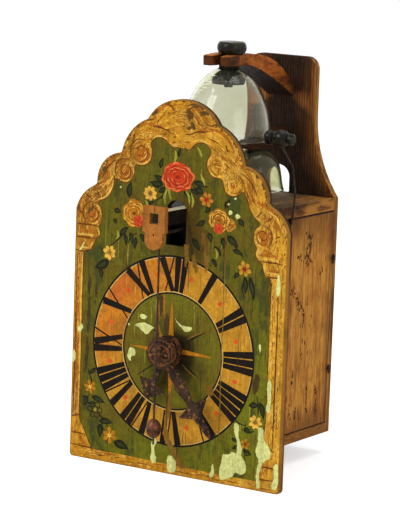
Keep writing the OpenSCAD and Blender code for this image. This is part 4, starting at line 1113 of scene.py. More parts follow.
half_edge = ([(97, 0), (99.1, 0.9), (100, 3)] + lobe_arc(0.708, -0.019, 0.302, 0.2975, 15, 67)
             + lobe_arc(0.553, 0.294, 0.249, 0.245, -4, 84)
             + lobe_arc(0.196, 0.471, 0.383, 0.377, 12, 70)
             + lobe_arc(0, 0.714, 0.355, 0.286, 25, 90))
dial_edge = [Vector(p) for p in half_edge] + [Vector((-p[0], p[1])) for p in half_edge[::-1]]


def inset(outline, amount):
    """Moves an outline inwards along the mean of its neighbouring edges."""
    count = len(outline)
    out = []
    for i, p in enumerate(outline):
        ahead = outline[(i + 1) % count] - outline[i - 1]
        if ahead.length < 1e-6:
            out.append(p)
            continue
        out.append(p + Vector((-ahead.y, ahead.x)).normalized() * amount)
    return out


ground = inset(dial_edge, EDGE_MARGIN)
print("ground's outline has", len(ground), "points")

# %% [markdown]
# The ground is one leaf of paint with two openings: the arched slot over the pendulum, and the
# round hole through which the hands' pipe comes.

# %% Ochre ground
SLOT_LEFT, SLOT_RIGHT, SLOT_FOOT, SLOT_SHOULDER, SLOT_TOP = -12.25, 6.25, 184.0, 214.0, 220.0
PIPE_X, PIPE_Z, PIPE_RADIUS = -3, 100.5, 6
GROUND_LIFT = 0.06
slot_hole = [Vector(p) for p in (
    (SLOT_LEFT, SLOT_FOOT), (SLOT_LEFT, SLOT_SHOULDER), (-10.5, 217.2), (-7.0, 219.6),
    (-3, SLOT_TOP), (1.0, 219.6), (4.5, 217.2), (SLOT_RIGHT, SLOT_SHOULDER),
    (SLOT_RIGHT, SLOT_FOOT))]
pipe_hole = [Vector(on_oval(PIPE_X, PIPE_Z, PIPE_RADIUS, PIPE_RADIUS, a / 16 * math.pi))
             for a in range(32)]
openings = [slot_hole, pipe_hole]
paint_layer("dial_ground", [ground], GROUND_LIFT, ochre_paint, holes=openings)

# %% [markdown]
# The green field has a scalloped edge where the scrolls of the border curl inwards. It is drawn as
# one line from the lower left corner, up past the pilaster, along the scrolls and arches, and down
# the other side.

# %% Green field
FIELD_LINE_LIFT, FIELD_LIFT = 0.115, 0.12
field_left = [
    (-78, 9), (-83, 18), (-87, 26), (-91, 34), (-91, 60), (-91, 100), (-91, 140), (-91, 166),
    (-89, 170), (-84, 171.5), (-81, 176), (-79, 181), (-76, 183), (-75.3, 187), (-77, 190.5),
    (-74.6, 194), (-73.6, 200), (-74.8, 206), (-78, 210.5), (-71, 214), (-66.5, 219), (-63.6, 225),
    (-62, 231), (-57.5, 229.2), (-52, 228.8), (-47, 231.5), (-43.8, 237), (-43.4, 243.4),
    (-38, 243.8), (-32, 245.6), (-28.4, 250), (-27.4, 256), (-29, 262.5), (-26, 266.2),
    (-21, 267.5), (-16, 266), (-12, 263), (-8, 260.8), (-3, 261.6),
]
field_right = [
    (2, 261.4), (7, 260.4), (10.5, 263), (14, 266), (19, 267), (23.5, 265.4), (26.6, 261),
    (24.2, 256), (23.2, 250.5), (25, 245.4), (29, 241.8), (34, 240.8), (38, 239.4), (39.4, 233.6),
    (43, 229.6), (48, 228.2), (53, 229.4), (57.6, 232.2), (61, 227), (64, 220), (68.4, 214),
    (74, 209.6), (70, 206), (68.4, 200), (69.2, 194), (71.4, 190.6), (70.4, 187), (72, 182.6),
    (76.6, 178.6), (78.6, 173), (81, 168.6), (85.6, 165.6), (85.6, 140), (85.6, 100), (85.6, 62),
    (84.5, 48), (82.5, 30), (82, 16), (78, 7.5),
]
field_edge = smooth_line(field_left + field_right, 4)
field_edge += [Vector((40, 7.4)), Vector((0, 7.8)), Vector((-40, 8.6))]
field_lines = [brush(side, [1.5, 1.5], 4) for side in (field_left, field_right)]
paint_layer("dial_field_line", field_lines, FIELD_LINE_LIFT, border_line)
paint_layer("dial_field", [field_edge], FIELD_LIFT, green_paint, holes=openings)

# %% [markdown]
# The chapter ring is an ochre band between two black circles, each with a cream line beside it.
# Each of them is a round outline with a smaller round hole. The ring's centre isn't quite the
# dial's, because it was set off by hand.

# %% Chapter ring
RING_X, RING_Z, RING_OUT, RING_IN = -3.1, 99.4, 76.8, 46.0
RING_LIFT, LIGHT_LIFT, LINE_LIFT = 0.16, 0.19, 0.20


def circle(radius, cx=RING_X, cz=RING_Z, count=96):
    """A round outline about the ring's centre."""
    return [Vector(on_oval(cx, cz, radius, radius, 2 * math.pi * k / count))
            for k in range(count)]


def band(name, r_out, r_in, lift, material):
    """A flat ring of paint."""
    return paint_layer(name, [circle(r_out)], lift, material, holes=[circle(r_in)])


outer_light, inner_light = RING_OUT - 2.3, RING_IN + 2.1
band("dial_ring", RING_OUT, RING_IN, RING_LIFT, ring_paint)
band("dial_ring_outer_line", RING_OUT, RING_OUT - 1.6, LINE_LIFT, black_paint)
band("dial_ring_inner_line", RING_IN + 1.3, RING_IN, LINE_LIFT, black_paint)
band("dial_ring_outer_light", RING_OUT - 1.6, outer_light, LIGHT_LIFT, cream_paint)
band("dial_ring_inner_light", inner_light, RING_IN + 1.3, LIGHT_LIFT, cream_paint)

# %% [markdown]
# The hours are roman figures that stand with their feet to the centre. Each figure is made of
# strokes that fan out with the radius: broad ones for the uprights and thin ones for the hairlines.
# Letters from a font would be as wide at the foot as at the top, and stand too stiffly for a brush.

# %% Numerals
R_TOP, R_FOOT = 75.2, 48.2
BROAD_TOP, BROAD_FOOT, THIN_TOP, THIN_FOOT = 5.9, 3.8, 1.3, 1.1
DOT_RADIUS, DOT_LIFT, NUMERAL_LIFT = 61.5, 0.21, 0.22
HOURS = ("XII", "I", "II", "III", "IIII", "V", "VI", "VII", "VIII", "IX", "X", "XI")
SHARE = {"I": 5.3, "V": 9.6, "X": 10.4}


def polar(angle_deg, radius):
    """A place on the dial, its angle clockwise from twelve."""
    a = math.radians(angle_deg)
    return Vector((RING_X + radius * math.sin(a), RING_Z + radius * math.cos(a)))


def figure_strokes(text, hour_angle):
    """The strokes of one numeral, centred on its hour."""
    strokes = []
    total = sum(SHARE[c] for c in text)
    here = hour_angle - total / 2
    for c in text:
        mid = here + SHARE[c] / 2
        if c == "I":
            pairs = [(0, 0, True)]
        elif c == "V":
            pairs = [(-3.6, -0.8, True), (4.4, 1.6, False)]
        else:
            pairs = [(-4.0, 4.0, True), (4.6, -4.4, False)]
        for top, foot, broad in pairs:
            a, b = polar(mid + top, R_TOP), polar(mid + foot, R_FOOT)
            w = (BROAD_TOP, BROAD_FOOT) if broad else (THIN_TOP, THIN_FOOT)
            strokes.append(brush([a, (a + b) / 2, b], list(w), 2, smooth=False))
        here += SHARE[c]
    return strokes


numerals = []
for hour, text in enumerate(HOURS):
    numerals += figure_strokes(text, hour * 30)
paint_layer("dial_numerals", numerals, NUMERAL_LIFT, black_paint)
dots = [oval(*polar(hour * 30 + 15, DOT_RADIUS), 2.1, 1.9, 0, 0.2, hour) for hour in range(12)]
paint_layer("dial_dots", dots, DOT_LIFT, dot_paint)

# %% [markdown]
# In the middle of the ring a star of four broad rays and four thin ones lies on the green. Light
# strokes run beside the thin rays and where hands have rubbed the paint above the hub.

# %% Star
STAR_LIFT, STAR_LIGHT_LIFT = 0.17, 0.175
ray_paths = [((-4.5, 104), (-4.6, 139), 6.5), ((2, 100.5), (35, 99.4), 5.0),
             ((-8, 98.6), (-43, 99.2), 5.0), ((-3.6, 94), (-4.2, 56), 7.5)]
rays = [brush([a, b], [w, 0.4], 8) for a, b, w in ray_paths]
paint_layer("dial_star", rays, STAR_LIFT, orange_paint)
thin_rays = [brush([(4, 104.5), (14, 111), (28, 119)], [4.6, 2.2, 0.3], 6),
             brush([(4, 93.5), (12, 88), (22, 82)], [4.4, 2.0, 0.3], 6),
             brush([(-12, 92), (-36, 76)], [1.8, 0.4], 6),
             brush([(-10, 107), (-30, 121)], [2.0, 0.3], 6)]
paint_layer("dial_star_thin", thin_rays, STAR_LIFT, leaf_paint)
ray_lights = [brush([(11, 111), (18, 115), (26, 118.6)], [0.3, 0.9, 0.2], 4),
              brush([(7, 90), (13, 85.6), (20, 81.6)], [0.3, 1.0, 0.2], 4),
              brush([(-16.5, 119), (-14.6, 111), (-12, 106)], [0.4, 2.6, 3.6], 4),
              brush([(-18, 143), (-17, 132), (-16, 122)], [0.8, 1.7, 0.6], 4),
              brush([(-12.5, 147), (-12, 138), (-11.6, 126)], [0.8, 2.2, 0.7], 4)]
paint_layer("dial_star_lights", ray_lights, STAR_LIGHT_LIFT, dull_orange)

# %% [markdown]
# Cleaning and wear have left fine upright scratches in the green and across the ring. They follow
# the grain of the board, and another seeded die places them.

# %% Scratches
FIELD_SCRATCHES, RING_SCRATCHES = 130, 150
scratch_dice = random.Random(31)
field_boxes, ring_centre = boxed([field_edge]), Vector((RING_X, RING_Z))
field_scratches, ring_scratches = {}, {}


def scratch(p, long, sway, end_sway):
    """Three points of a nearly upright line that starts at p."""
    return [p, p + Vector((scratch_dice.uniform(-sway, sway), long / 2)),
            p + Vector((scratch_dice.uniform(-end_sway, end_sway), long))]


def off_ring(q):
    """Whether a place on the dial is clear of the chapter ring."""
    return not RING_IN < (q - ring_centre).length < RING_OUT + 1


while sum(map(len, field_scratches.values())) < FIELD_SCRATCHES:
    p = Vector((scratch_dice.uniform(-90, 86), scratch_dice.uniform(9, 262)))
    long = scratch_dice.uniform(4, 22)
    line = scratch(p, long, 0.4, 0.5)
    if all(within(q, field_boxes) and off_ring(q) for q in line):
        kind = scratch_dice.choice(("dark", "dark", "brown", "lime", "dark"))
        widths = [0.15, scratch_dice.uniform(0.35, 0.9), 0.15]
        field_scratches.setdefault(kind, []).append(brush(line, widths, 2))
while sum(map(len, ring_scratches.values())) < RING_SCRATCHES:
    p = polar(scratch_dice.uniform(0, 360), scratch_dice.uniform(47, 74))
    long = scratch_dice.uniform(3, 14)
    line = scratch(p, long, 0.3, 0.3)
    kind = scratch_dice.choice(("brown", "cream", "brown", "orange"))
    widths = [0.12, scratch_dice.uniform(0.25, 0.6), 0.12]
    ring_scratches.setdefault(kind, []).append(brush(line, widths, 2))
for kind, material, lift in (("dark", leaf_light, 0.126), ("brown", stain_paint, 0.128),
                             ("lime", lime_paint, 0.13)):
    paint_layer("field_scratches_" + kind, field_scratches[kind], lift, material,
                holes=openings, limit=field_edge)
for kind, material, lift in (("brown", border_shade, 0.164), ("cream", ochre_light, 0.166),
                             ("orange", orange_paint, 0.168)):
    paint_layer("ring_scratches_" + kind, ring_scratches[kind], lift, material,
                holes=[circle(inner_light)], limit=circle(outer_light))

# %% [markdown]
# The border is carved in paint only: scrolls, capitals and pilasters that get their roundness from
# a dark line, a warm shade beside it, and a light line where the light would catch. Real relief
# would be wrong here, because the board is flat. A volute is the curl at a scroll's end: one spiral
# stroke with a shaded eye, a bright rim and short hatching.

# %% Volutes
strokes = {}


def lay(kind, outline):
    """Keeps an outline for the layer of its colour."""
    strokes.setdefault(kind, []).append(outline)


def arc_points(cx, cz, r0, r1, a0, a1, count=14):
    """Points on an arc whose radius goes evenly from r0 to r1."""
    rows = [(r0 + (r1 - r0) * t, math.radians(a0 + (a1 - a0) * t))
            for t in (k / count for k in range(count + 1))]
    return [on_oval(cx, cz, r, r, a) for r, a in rows]


def volute(cx, cz, r, hand, start, dark="line", pad=0.7):
    """A curl: warm pad, spiral line, shaded eye and a broken bright rim; hand is 1 or -1."""
    def curl(near, far, low, high, count=14):
        """Part of a spiral, its angles counted from where the curl starts."""
        return arc_points(cx, cz, near, far, start + hand * low, start + hand * high, count)

    lay("shade", oval(cx + 0.12 * r, cz - 0.1 * r, r * pad, r * pad * 0.94, 0, 0.12, int(cx)))
    lay("brown", oval(cx, cz, r * 0.3, r * 0.28, 0, 0.15, int(cx)))
    for low, high, reach, width in ((0, 70, 0.9, 1.5), (95, 175, 0.88, 1.7), (20, 110, 0.52, 1.0)):
        rim = curl(r * reach, r * reach * 0.96, low, high)
        lay("light", brush(rim, [0.3, width, 0.3], 2))
    lay(dark, brush(curl(r * 0.78, r * 0.18, -40, 470, 30), [0.4, 0.8, 0.7, 0.7, 0.4], 1))
    lay(dark, brush(curl(r * 1.02, r * 1.0, 175, 330), [0.4, 1.1, 0.4], 2))
    lay("brown", brush(curl(r * 0.94, r * 0.9, 200, 320), [0.4, 1.7, 0.4], 2))
    for turn in range(30, 336, 34):
        lay("line", brush(curl(r * 0.86, r * 0.7, turn, turn + 9, 2), [0.2, 0.5, 0.2], 1))


for row in (
        (-38.5, 254.5, 10.4, 1, -110), (-53.5, 238.5, 9.4, 1, -110), (-84.0, 201.0, 9.2, 1, -90),
        (33.0, 250.6, 9.6, -1, -70, "brown", 0.3), (48.5, 237.4, 9.0, -1, -70, "brown", 0.25),
        (77.0, 200.0, 8.6, -1, -90)):
    volute(*row)
print("volutes laid, strokes by kind:", {kind: len(rows) for kind, rows in strokes.items()})

# %% [markdown]
# The lines of the scrolls, capitals and pilasters were drawn for the left side and are repeated on
# the right. Only the first line of each list stays on its own side.

# %% Lines of the border
shade_lines = [
    [(-95.5, 34), (-95.8, 70), (-95.4, 110), (-95.8, 140), (-95.6, 168)],
    [(-98, 205), (-94, 211), (-88, 214.5), (-80, 214)],
    [(-96.5, 214), (-90, 220.5), (-82, 224), (-74, 227), (-69, 233), (-67.6, 240), (-70, 246)],
    [(-72, 233), (-70, 241), (-65, 249), (-58, 253), (-50, 252)],
    [(-53, 262), (-49.6, 269), (-43, 275), (-36, 277.6), (-28, 277.6), (-20, 276), (-11, 272)],
    [(-28, 284), (-22, 290), (-14, 294.5), (-7, 291)],
    [(-92, 20), (-88, 14), (-84, 11)], [(-70, 224), (-66, 230)], [(-83, 190), (-90, 188)],
    [(-96, 186), (-84, 186.4), (-79, 185)], [(-96, 175), (-88, 174.6)], [(-58, 262), (-55, 256)],
]
dark_lines = [
    [(-99, 191.2), (-88, 191.6), (-77.6, 191.0)], [(-99, 180.6), (-90, 181), (-80, 180.8)],
    [(-99, 170), (-90, 169.4), (-86, 170.2)], [(-75, 231), (-71.6, 238), (-66, 243.6), (-60, 247)],
    [(-97, 202), (-93, 200)], [(-28, 276.2), (-18, 275.2), (-10, 272.2)],
    [(-15, 294.6), (-11, 293), (-8, 289.6)], [(-99, 33), (-92, 35), (-90.6, 34)],
    [(-99, 19.5), (-92, 20), (-85, 19.4)], [(-99, 10), (-60, 8.6)], [(-97.6, 36), (-97.6, 166)],
    [(-64, 234), (-63, 226)], [(-45, 268), (-47, 262)], [(-90, 216), (-84, 212)],
    [(-80, 220), (-76, 214.5)], [(-36, 283), (-30, 281), (-25, 284)],
]
light_lines = [
    [(-92.8, 36), (-92.6, 90), (-92.8, 140), (-92.4, 166)], [(-77, 184), (-76.8, 188), (-79, 190)],
    [(-64.6, 229), (-66.8, 221), (-72, 215.4), (-79, 212.6)],
    [(-29, 261), (-26, 267.6), (-20, 269), (-14, 267)],
    [(-85.4, 173), (-82.6, 178)], [(-98.6, 208), (-93, 216.6), (-84, 220.4)],
    [(-74, 240), (-70, 248), (-62, 255.5)], [(-52, 271), (-45, 279), (-36, 283)],
    [(-31, 287), (-24, 294.5), (-14, 298)], [(-97, 183), (-82, 183.4)],
    [(-97, 172.6), (-86, 172.6)],
]


def mirrored(lines, shift):
    """The same points on the other side of the dial."""
    return [[(-x + shift, z) for x, z in points] for points in lines]


for kind, lines, widths in (("shade", shade_lines, (1.4, 2.6, 2.8, 1.8, 0.8)),
                            ("line", dark_lines, (0.6, 1.2, 1.0, 0.5)),
                            ("light", light_lines, (0.6, 1.5, 1.4, 0.6))):
    for points in lines + mirrored(lines[1:], -4.6):
        lay(kind, brush(points, list(widths)))
print("border lines laid:", sum(map(len, strokes.values())))

# %% [markdown]
# Long flicks of the brush follow two lines through the scrolls, an outer and an inner one.

# %% Flicks along the scrolls
FLICKS = 210
runs = [smooth_line(points, 6) for points in (
    [(-96, 196), (-95, 212), (-84, 222), (-72, 230), (-70, 243), (-60, 253), (-50, 262),
     (-40, 274), (-24, 280), (-14, 290), (0, 294), (12, 290), (22, 279), (38, 272), (46, 260),
     (58, 250), (66, 240), (68, 228), (80, 220), (92, 210), (94, 196)],
    [(-90, 196), (-88, 214), (-76, 220), (-66, 234), (-54, 250), (-44, 264), (-30, 270),
     (-14, 278), (0, 282), (14, 276), (28, 266), (42, 258), (52, 248), (62, 236), (70, 222),
     (84, 212), (88, 196)])]
flick = random.Random(23)
for k in range(FLICKS):
    line = flick.choice(runs)
    spot = flick.randrange(1, len(line) - 2)
    ahead = (line[spot + 1] - line[spot - 1]).normalized()
    side = Vector((-ahead.y, ahead.x)) * flick.gauss(0, 3.4)
    reach = flick.uniform(2.0, 6.5)
    curve = Vector((-ahead.y, ahead.x)) * flick.uniform(-0.8, 0.8)
    kind = flick.choice(("line", "brown", "light", "shade", "light"))
    middle = line[spot] + side
    path = [middle - ahead * reach, middle + curve, middle + ahead * reach]
    lay(kind, brush(path, [0.15, flick.uniform(0.35, 0.75), 0.15], 3))
print("flicks laid:", FLICKS)

# %% [markdown]
# Between the lines the painter dabbed with a nearly dry brush. More than a thousand short strokes,
# light and dark, follow the run of the border. A seeded die places them, so the clock comes out the
# same each time.

# %% Dabs on the border
DABS, PILASTER_TOP, BASE_TOP = 1150, 168, 12
ground_box, field_box = boxed([ground]), boxed([field_edge])
dice = random.Random(11)
dabs = 0
while dabs < DABS:
    p = Vector((dice.uniform(-98, 98), dice.uniform(2, 299)))
    if not within(p, ground_box) or within(p, field_box):
        continue
    lean = math.pi / 2
    if p.y >= PILASTER_TOP or abs(p.x) <= 80:
        lean += math.atan2(p.y - 215, p.x + 2)
    if p.y < BASE_TOP:
        lean = 0
    lean += dice.gauss(0, 0.45)
    reach = dice.uniform(0.8, 2.6)
    step = Vector((math.cos(lean), math.sin(lean))) * reach
    bend = Vector((-step.y, step.x)) * dice.uniform(-0.25, 0.25)
    line = [p - step, p + bend, p + step]
    if all(within(q, ground_box) and not within(q, field_box) for q in line):
        kind = dice.choice(("light", "brown", "brown", "light", "shade", "line"))
        lay(kind, brush(line, [0.2, dice.uniform(0.4, 1.0), 0.2], 2))
        dabs += 1
print("dabs laid:", dabs)

# %% [markdown]
# Soot and rubbing gather in the hollows of the scrolls, along the base and the pilasters, and round
# the very edge of the board. The same die goes on, so the order of these loops matters.

# %% Wear on the border
BASE_FLICKS, PILASTER_FLICKS, EDGE_SPOTS = 46, 60, 150
for cx, cz, rx, rz in ((-45, 276, 3.2, 2.2), (-26, 288, 3.4, 2.6), (-73, 236, 2.4, 3.4),
                       (8, 286, 4.4, 5.6), (-86, 204, 2.4, 3.0), (-98, 204, 1.6, 1.6),
                       (20, 290, 5.5, 1.8), (11, 296, 7, 1.6), (-18, 296, 4, 1.4)):
    for k in range(7):
        sx, sz = cx + dice.gauss(0, rx * 0.5), cz + dice.gauss(0, rz * 0.5)
        wide, high = rx * dice.uniform(0.26, 0.62), rz * dice.uniform(0.26, 0.62)
        lay("soot", oval(sx, sz, wide, high, 20, 0.4, int(cx) + k))
for k in range(BASE_FLICKS):
    x, z = dice.uniform(-94, 84), dice.uniform(2.2, 7.4)
    long = dice.uniform(5, 16)
    kind = dice.choice(("light", "brown", "shade", "line"))
    line = [(x, z), (x + long / 2, z + dice.uniform(-0.5, 0.5)),
            (x + long, z + dice.uniform(-0.4, 0.4))]
    lay(kind, brush(line, [0.2, dice.uniform(0.4, 0.9), 0.2], 3))
for k in range(PILASTER_FLICKS):
    x, z = dice.choice((-1, 1)) * dice.uniform(88, 98) - 1.5, dice.uniform(36, 160)
    long = dice.uniform(6, 20)
    kind = dice.choice(("light", "brown", "shade"))
    line = [(x, z), (x + dice.uniform(-0.5, 0.5), z + long / 2),
            (x + dice.uniform(-0.3, 0.3), z + long)]
    lay(kind, brush(line, [0.2, dice.uniform(0.4, 0.9), 0.2], 3))
for k in range(EDGE_SPOTS):
    p = ground[dice.randrange(len(ground))]
    if p.y < 4:
        continue
    size = dice.uniform(0.4, 1.3)
    x, z = p.x + dice.gauss(0, 0.5), p.y + dice.gauss(0, 0.5)
    lay("soot", oval(x, z, size, size * dice.uniform(0.5, 1.6), 0, 0.4, k, 14))
border_layers = (
    ("brown", ochre_brown, 0.075), ("shade", border_shade, 0.085), ("light", ochre_light, 0.095),
    ("line", border_line, 0.105), ("soot", soot_paint, 0.11))
for kind, material, lift in border_layers:
    paint_layer("border_" + kind, strokes[kind], lift, material, limit=ground)

# %% [markdown]
# Roses and small flowers are folk painting. A rose is a round mass of petals, each one stroke of a
# loaded brush, light on its outer rim, with dark folds and a dark heart. Every rose comes from one
# function, with its own size, colours and number of petals.

# %% Roses
layers = {}


def stroke(kind, outline):
    """Keeps a stroke of the flowers for the layer of its colour."""
    layers.setdefault(kind, []).append(outline)


def rose(cx, cz, rx, rz, body, rim, heart, seed, petals=7):
    """A full rose: a ragged mass, curved petal rims, dark folds and a small heart."""
    dice = random.Random(seed)
    stroke(body, oval(cx, cz, rx * 0.82, rz * 0.82, 0, 0.1, seed))
    for k in range(petals):
        a = 2 * math.pi * k / petals + dice.uniform(-0.2, 0.2)
        px, pz = on_oval(cx, cz, rx * 0.6, rz * 0.6, a)
        stroke(body, oval(px, pz, rx * 0.42, rz * 0.36, math.degrees(a) + 90, 0.16, seed + k))
    for shell, count in ((0.9, petals), (0.66, petals - 1), (0.42, 4)):
        for k in range(count):
            a = 2 * math.pi * k / count + dice.uniform(-0.25, 0.25) + shell
            wide = dice.uniform(0.3, 0.62)
            inner, outer = shell * dice.uniform(0.76, 0.96), shell * dice.uniform(0.9, 1.06)
            path = [on_oval(cx, cz, rx * r, rz * r, a + d)
                    for d, r in ((-wide, inner), (0, outer), (wide, shell * 0.84))]
            stroke(rim, brush(path, [0.2, rx * dice.uniform(0.07, 0.13), 0.2]))
            path = [on_oval(cx, cz, rx * r, rz * r, a + d + 0.2)
                    for d, r in ((-wide, shell * 0.7), (0, shell * 0.82), (wide, shell * 0.7))]
            stroke(heart, brush(path, [0.2, rx * dice.uniform(0.05, 0.1), 0.2]))
    stroke(heart, oval(cx, cz, rx * 0.14, rz * 0.12, 0, 0.2, seed))


for row in (
        (-3.0, 238.2, 16.0, 12.4, "red", "pink", "dark_red", 3, 8),
        (-43.5, 205.4, 11.4, 12.0, "orange", "yellow", "umber", 8, 7),
        (-39.0, 199.6, 5.2, 5.4, "red", "pink", "dark_red", 12, 5),
        (36.5, 208.5, 10.6, 9.6, "dull", "yellow", "umber", 21, 7),
        (36.5, 201.8, 5.0, 4.4, "red", "pink", "dark_red", 25, 5),
        (46.5, 206, 5.8, 5.6, "dull", "yellow", "umber", 29, 5)):
    rose(*row)
print("strokes of the roses:", {kind: len(rows) for kind, rows in layers.items()})

# %% [markdown]
# A small flower is simpler: tapering petals round a dark heart, with a line down each petal.

# %% Small flowers


def small_flower(cx, cz, radius, petal, heart, seed, petals=7):
    """A simple flower of tapering petals round a dark heart."""
    dice = random.Random(seed * 7)
    for k in range(petals):
        a = 2 * math.pi * k / petals + seed + dice.uniform(-0.12, 0.12)
        far = radius * dice.uniform(0.9, 1.08)
        tip, root = (on_oval(cx, cz, reach, reach, a) for reach in (far, radius * 0.18))
        stroke(petal, leaf(tip, root, radius * 0.52))
    stroke(heart, oval(cx, cz, radius * 0.27, radius * 0.25, 0, 0.25, seed))
    for k in range(petals):
        a = 2 * math.pi * k / petals + seed
        middle = on_oval(cx, cz, radius * 0.5, radius * 0.5, a)
        stroke(heart, brush([(cx, cz), middle], [0.7, 0.2], 1))


for row in (
        (-28.5, 223, 6.6, "yellow", "rust", 1, 8), (24.5, 223.3, 6.2, "gold", "dark_red", 2, 6),
        (-66, 171.5, 6.4, "yellow", "rust", 3, 7), (61.5, 173, 6.6, "gold", "dark_red", 4, 6),
        (-81.5, 59.5, 5.6, "orange", "yellow", 5, 6), (-61, 22.5, 6.8, "orange", "yellow", 7, 6),
        (76.5, 54, 6.0, "yellow", "rust", 8, 7), (68, 35.5, 4.4, "orange", "dark_red", 9, 5)):
    small_flower(*row)
print("strokes of all the flowers:", sum(map(len, layers.values())))

# %% [markdown]
# Leaves fill the ground between the flowers. Each is a dark teardrop with a green heart and a line
# along its middle. Places are its base, its tip and its width.

# %% Leaves
leaf_rows = [
    ((-48.5, 217), (-47.2, 231), 5.8), ((-16.5, 231), (-29.5, 232), 5.8),
    ((-15, 229), (-21, 224.5), 4.6),
    ((-20, 243.5), (-17, 252.5), 4.2), ((-3, 254), (-1, 262), 3.4), ((-63, 206), (-56, 204.6), 4.6),
    ((-63, 199), (-60, 195), 3.4), ((-57, 186), (-48, 194), 4.6), ((-47, 190), (-44, 180), 4.2),
    ((-37, 190), (-33, 183), 4.2), ((-66, 165), (-80.5, 157.6), 7.8), ((-75, 158), (-73, 149), 4.6),
    ((11, 236), (25.5, 233), 5.0), ((9, 230), (17, 226), 3.8), ((28, 219), (23, 213), 4.6),
    ((24, 207), (15, 202), 4.4), ((27, 198), (30, 190), 5.0), ((42, 218), (46, 226), 4.6),
    ((54, 211), (60, 206), 4.6), ((44, 197), (55, 189), 6.2), ((50, 187), (60, 183.6), 4.0),
    ((62, 168), (63, 153), 5.0), ((66, 168), (71.4, 149), 5.2), ((-84, 52), (-87, 43), 4.4),
    ((-80, 52), (-66, 48), 4.8), ((-72, 33), (-58, 33), 5.4), ((-71, 31), (-71, 19), 5.6),
    ((-57, 17.5), (-42, 14), 7.4), ((70, 66.5), (79.6, 67.5), 5.0), ((80, 71), (84, 57), 5.0),
    ((66, 48), (73, 44.6), 4.0), ((55, 38), (62, 36), 3.2), ((56, 30), (64, 33), 3.2),
    ((66, 31), (74, 28), 3.4), ((33, 188), (40, 180), 4.2), ((31, 178), (36, 171), 3.8),
    ((12, 192), (20, 182), 5.0), ((3, 228), (9, 221), 3.0), ((-76, 76), (-84, 70), 3.8),
    ((-88, 52), (-84, 46), 3.2), ((52, 165), (58, 170), 3.6), ((-30, 214), (-24, 217), 3.2),
    ((-52, 189), (-50, 178), 3.8), ((-41, 187), (-42.5, 176), 3.6), ((-15, 234), (-25, 238), 5.4),
    ((13, 231), (22, 227.5), 5.4), ((8, 227), (12.5, 220.5), 4.2), ((40, 196), (42, 186), 4.6),
]
for base, tip, width in leaf_rows:
    stroke("leaf", leaf(base, tip, width, width * 0.12))
    b, t = Vector(base), Vector(tip)
    stroke("leaf_light", leaf(b.lerp(t, 0.22), b.lerp(t, 0.8), width * 0.42, width * 0.1))
    stroke("leaf", brush([b.lerp(t, 0.1), b.lerp(t, 0.85)], [0.5, 0.3], 1))
print("leaves:", len(leaf_rows))

# %% [markdown]
# Thin curved stems join them, and lime blades and pale dots stand between. The flower low on the
# left is drawn in outline only, as a ring of six loops. All of it is then laid by colour, the
# leaves lowest and the hearts of the flowers highest.

# %% Stems, blades and dots
stem_rows = [
    [(-50, 192), (-57, 184), (-65, 177)], [(-66, 166), (-72, 162), (-78, 157)],
    [(44, 200), (52, 190), (60, 182)], [(62, 166), (60, 158), (63, 150)],
    [(68, 168), (70, 160), (69, 150)], [(-82, 54), (-84, 48), (-80, 44)],
    [(-70, 36), (-68, 28), (-64, 24)], [(77, 75), (78.6, 68), (79, 60)],
    [(-86, 48), (-80, 46), (-74, 48)], [(10, 236), (14, 230), (18, 227)],
    [(64, 47), (70, 45), (76, 47)], [(66, 31), (69, 27), (74, 28)],
    [(-24, 217), (-18, 221), (-14, 226)], [(-40, 190), (-46, 186), (-48, 181)],
    [(-82, 54), (-80, 64), (-84, 74)], [(-62, 28), (-68, 36), (-74, 38)],
    [(52, 60), (60, 52), (68, 50)],
]
for points in stem_rows:
    stroke("leaf", brush(points, [0.5, 1.3, 0.7]))
for k in range(6):
    middle = on_oval(-76, 41.6, 4.8, 4.8, k * 1.047)
    loop = [on_oval(*middle, 2.5, 2.1, a / 4 * math.pi) for a in range(9)]
    stroke("leaf", brush(loop, [0.7, 0.9, 0.7], 2))
stroke("lime", oval(-76, 41.6, 1.5, 1.3, 0, 0.2, 6))
lime_rows = [
    [(-9.6, 234), (-11, 227), (-8.6, 220)], [(5, 228), (8, 224), (8.6, 218)],
    [(14, 264), (17, 260), (18.6, 256)], [(18, 243), (21, 238), (22.4, 234)],
    [(-6.6, 250), (-5.4, 254), (-6, 259)], [(-59, 190), (-58, 186), (-60, 183)],
    [(34, 186), (36, 182), (35, 178)], [(-33, 217), (-31, 214), (-33, 211)],
    [(-12, 229), (-15, 222), (-14, 216)], [(10, 227), (12, 221), (11, 216)],
]
for points in lime_rows:
    stroke("lime", brush(points, [0.6, 2.4, 0.7]))
for cx, cz, r in ((46.8, 215.6, 2.0), (53.6, 213.4, 2.2), (51, 227, 1.0), (-57, 225, 0.9),
                  (45, 222, 0.9)):
    stroke("ground", oval(cx, cz, r, r * 0.8, 30, 0.3, int(cx)))
# Painted shade: a dark oval on the dial behind the bridge plate's hole, seen through it.
stroke("ink", oval(-24.3, 203.8, 5.6, 5.8, 0, 0.2, 77))
flower_layers = (
    ("leaf_light", leaf_light, 0.16), ("leaf", leaf_paint, 0.15), ("lime", lime_paint, 0.17),
    ("dull", dull_orange, 0.178), ("orange", orange_paint, 0.18), ("umber", umber_paint, 0.19),
    ("yellow", yellow_paint, 0.2), ("gold", ring_paint, 0.195), ("red", red_paint, 0.205),
    ("pink", pink_paint, 0.22), ("dark_red", dark_red_paint, 0.23), ("rust", rust_stain, 0.21),
    ("ground", bare_ground, 0.185), ("ink", leaf_paint, 0.24))
for kind, material, lift in flower_layers:
    paint_layer("flowers_" + kind, layers[kind], lift, material)

# %% [markdown]
# Where the paint has flaked the pale ground shows, in ragged islands with crisp edges. They lie
# over everything else because nothing was painted after the damage was done.

# %% Flakes


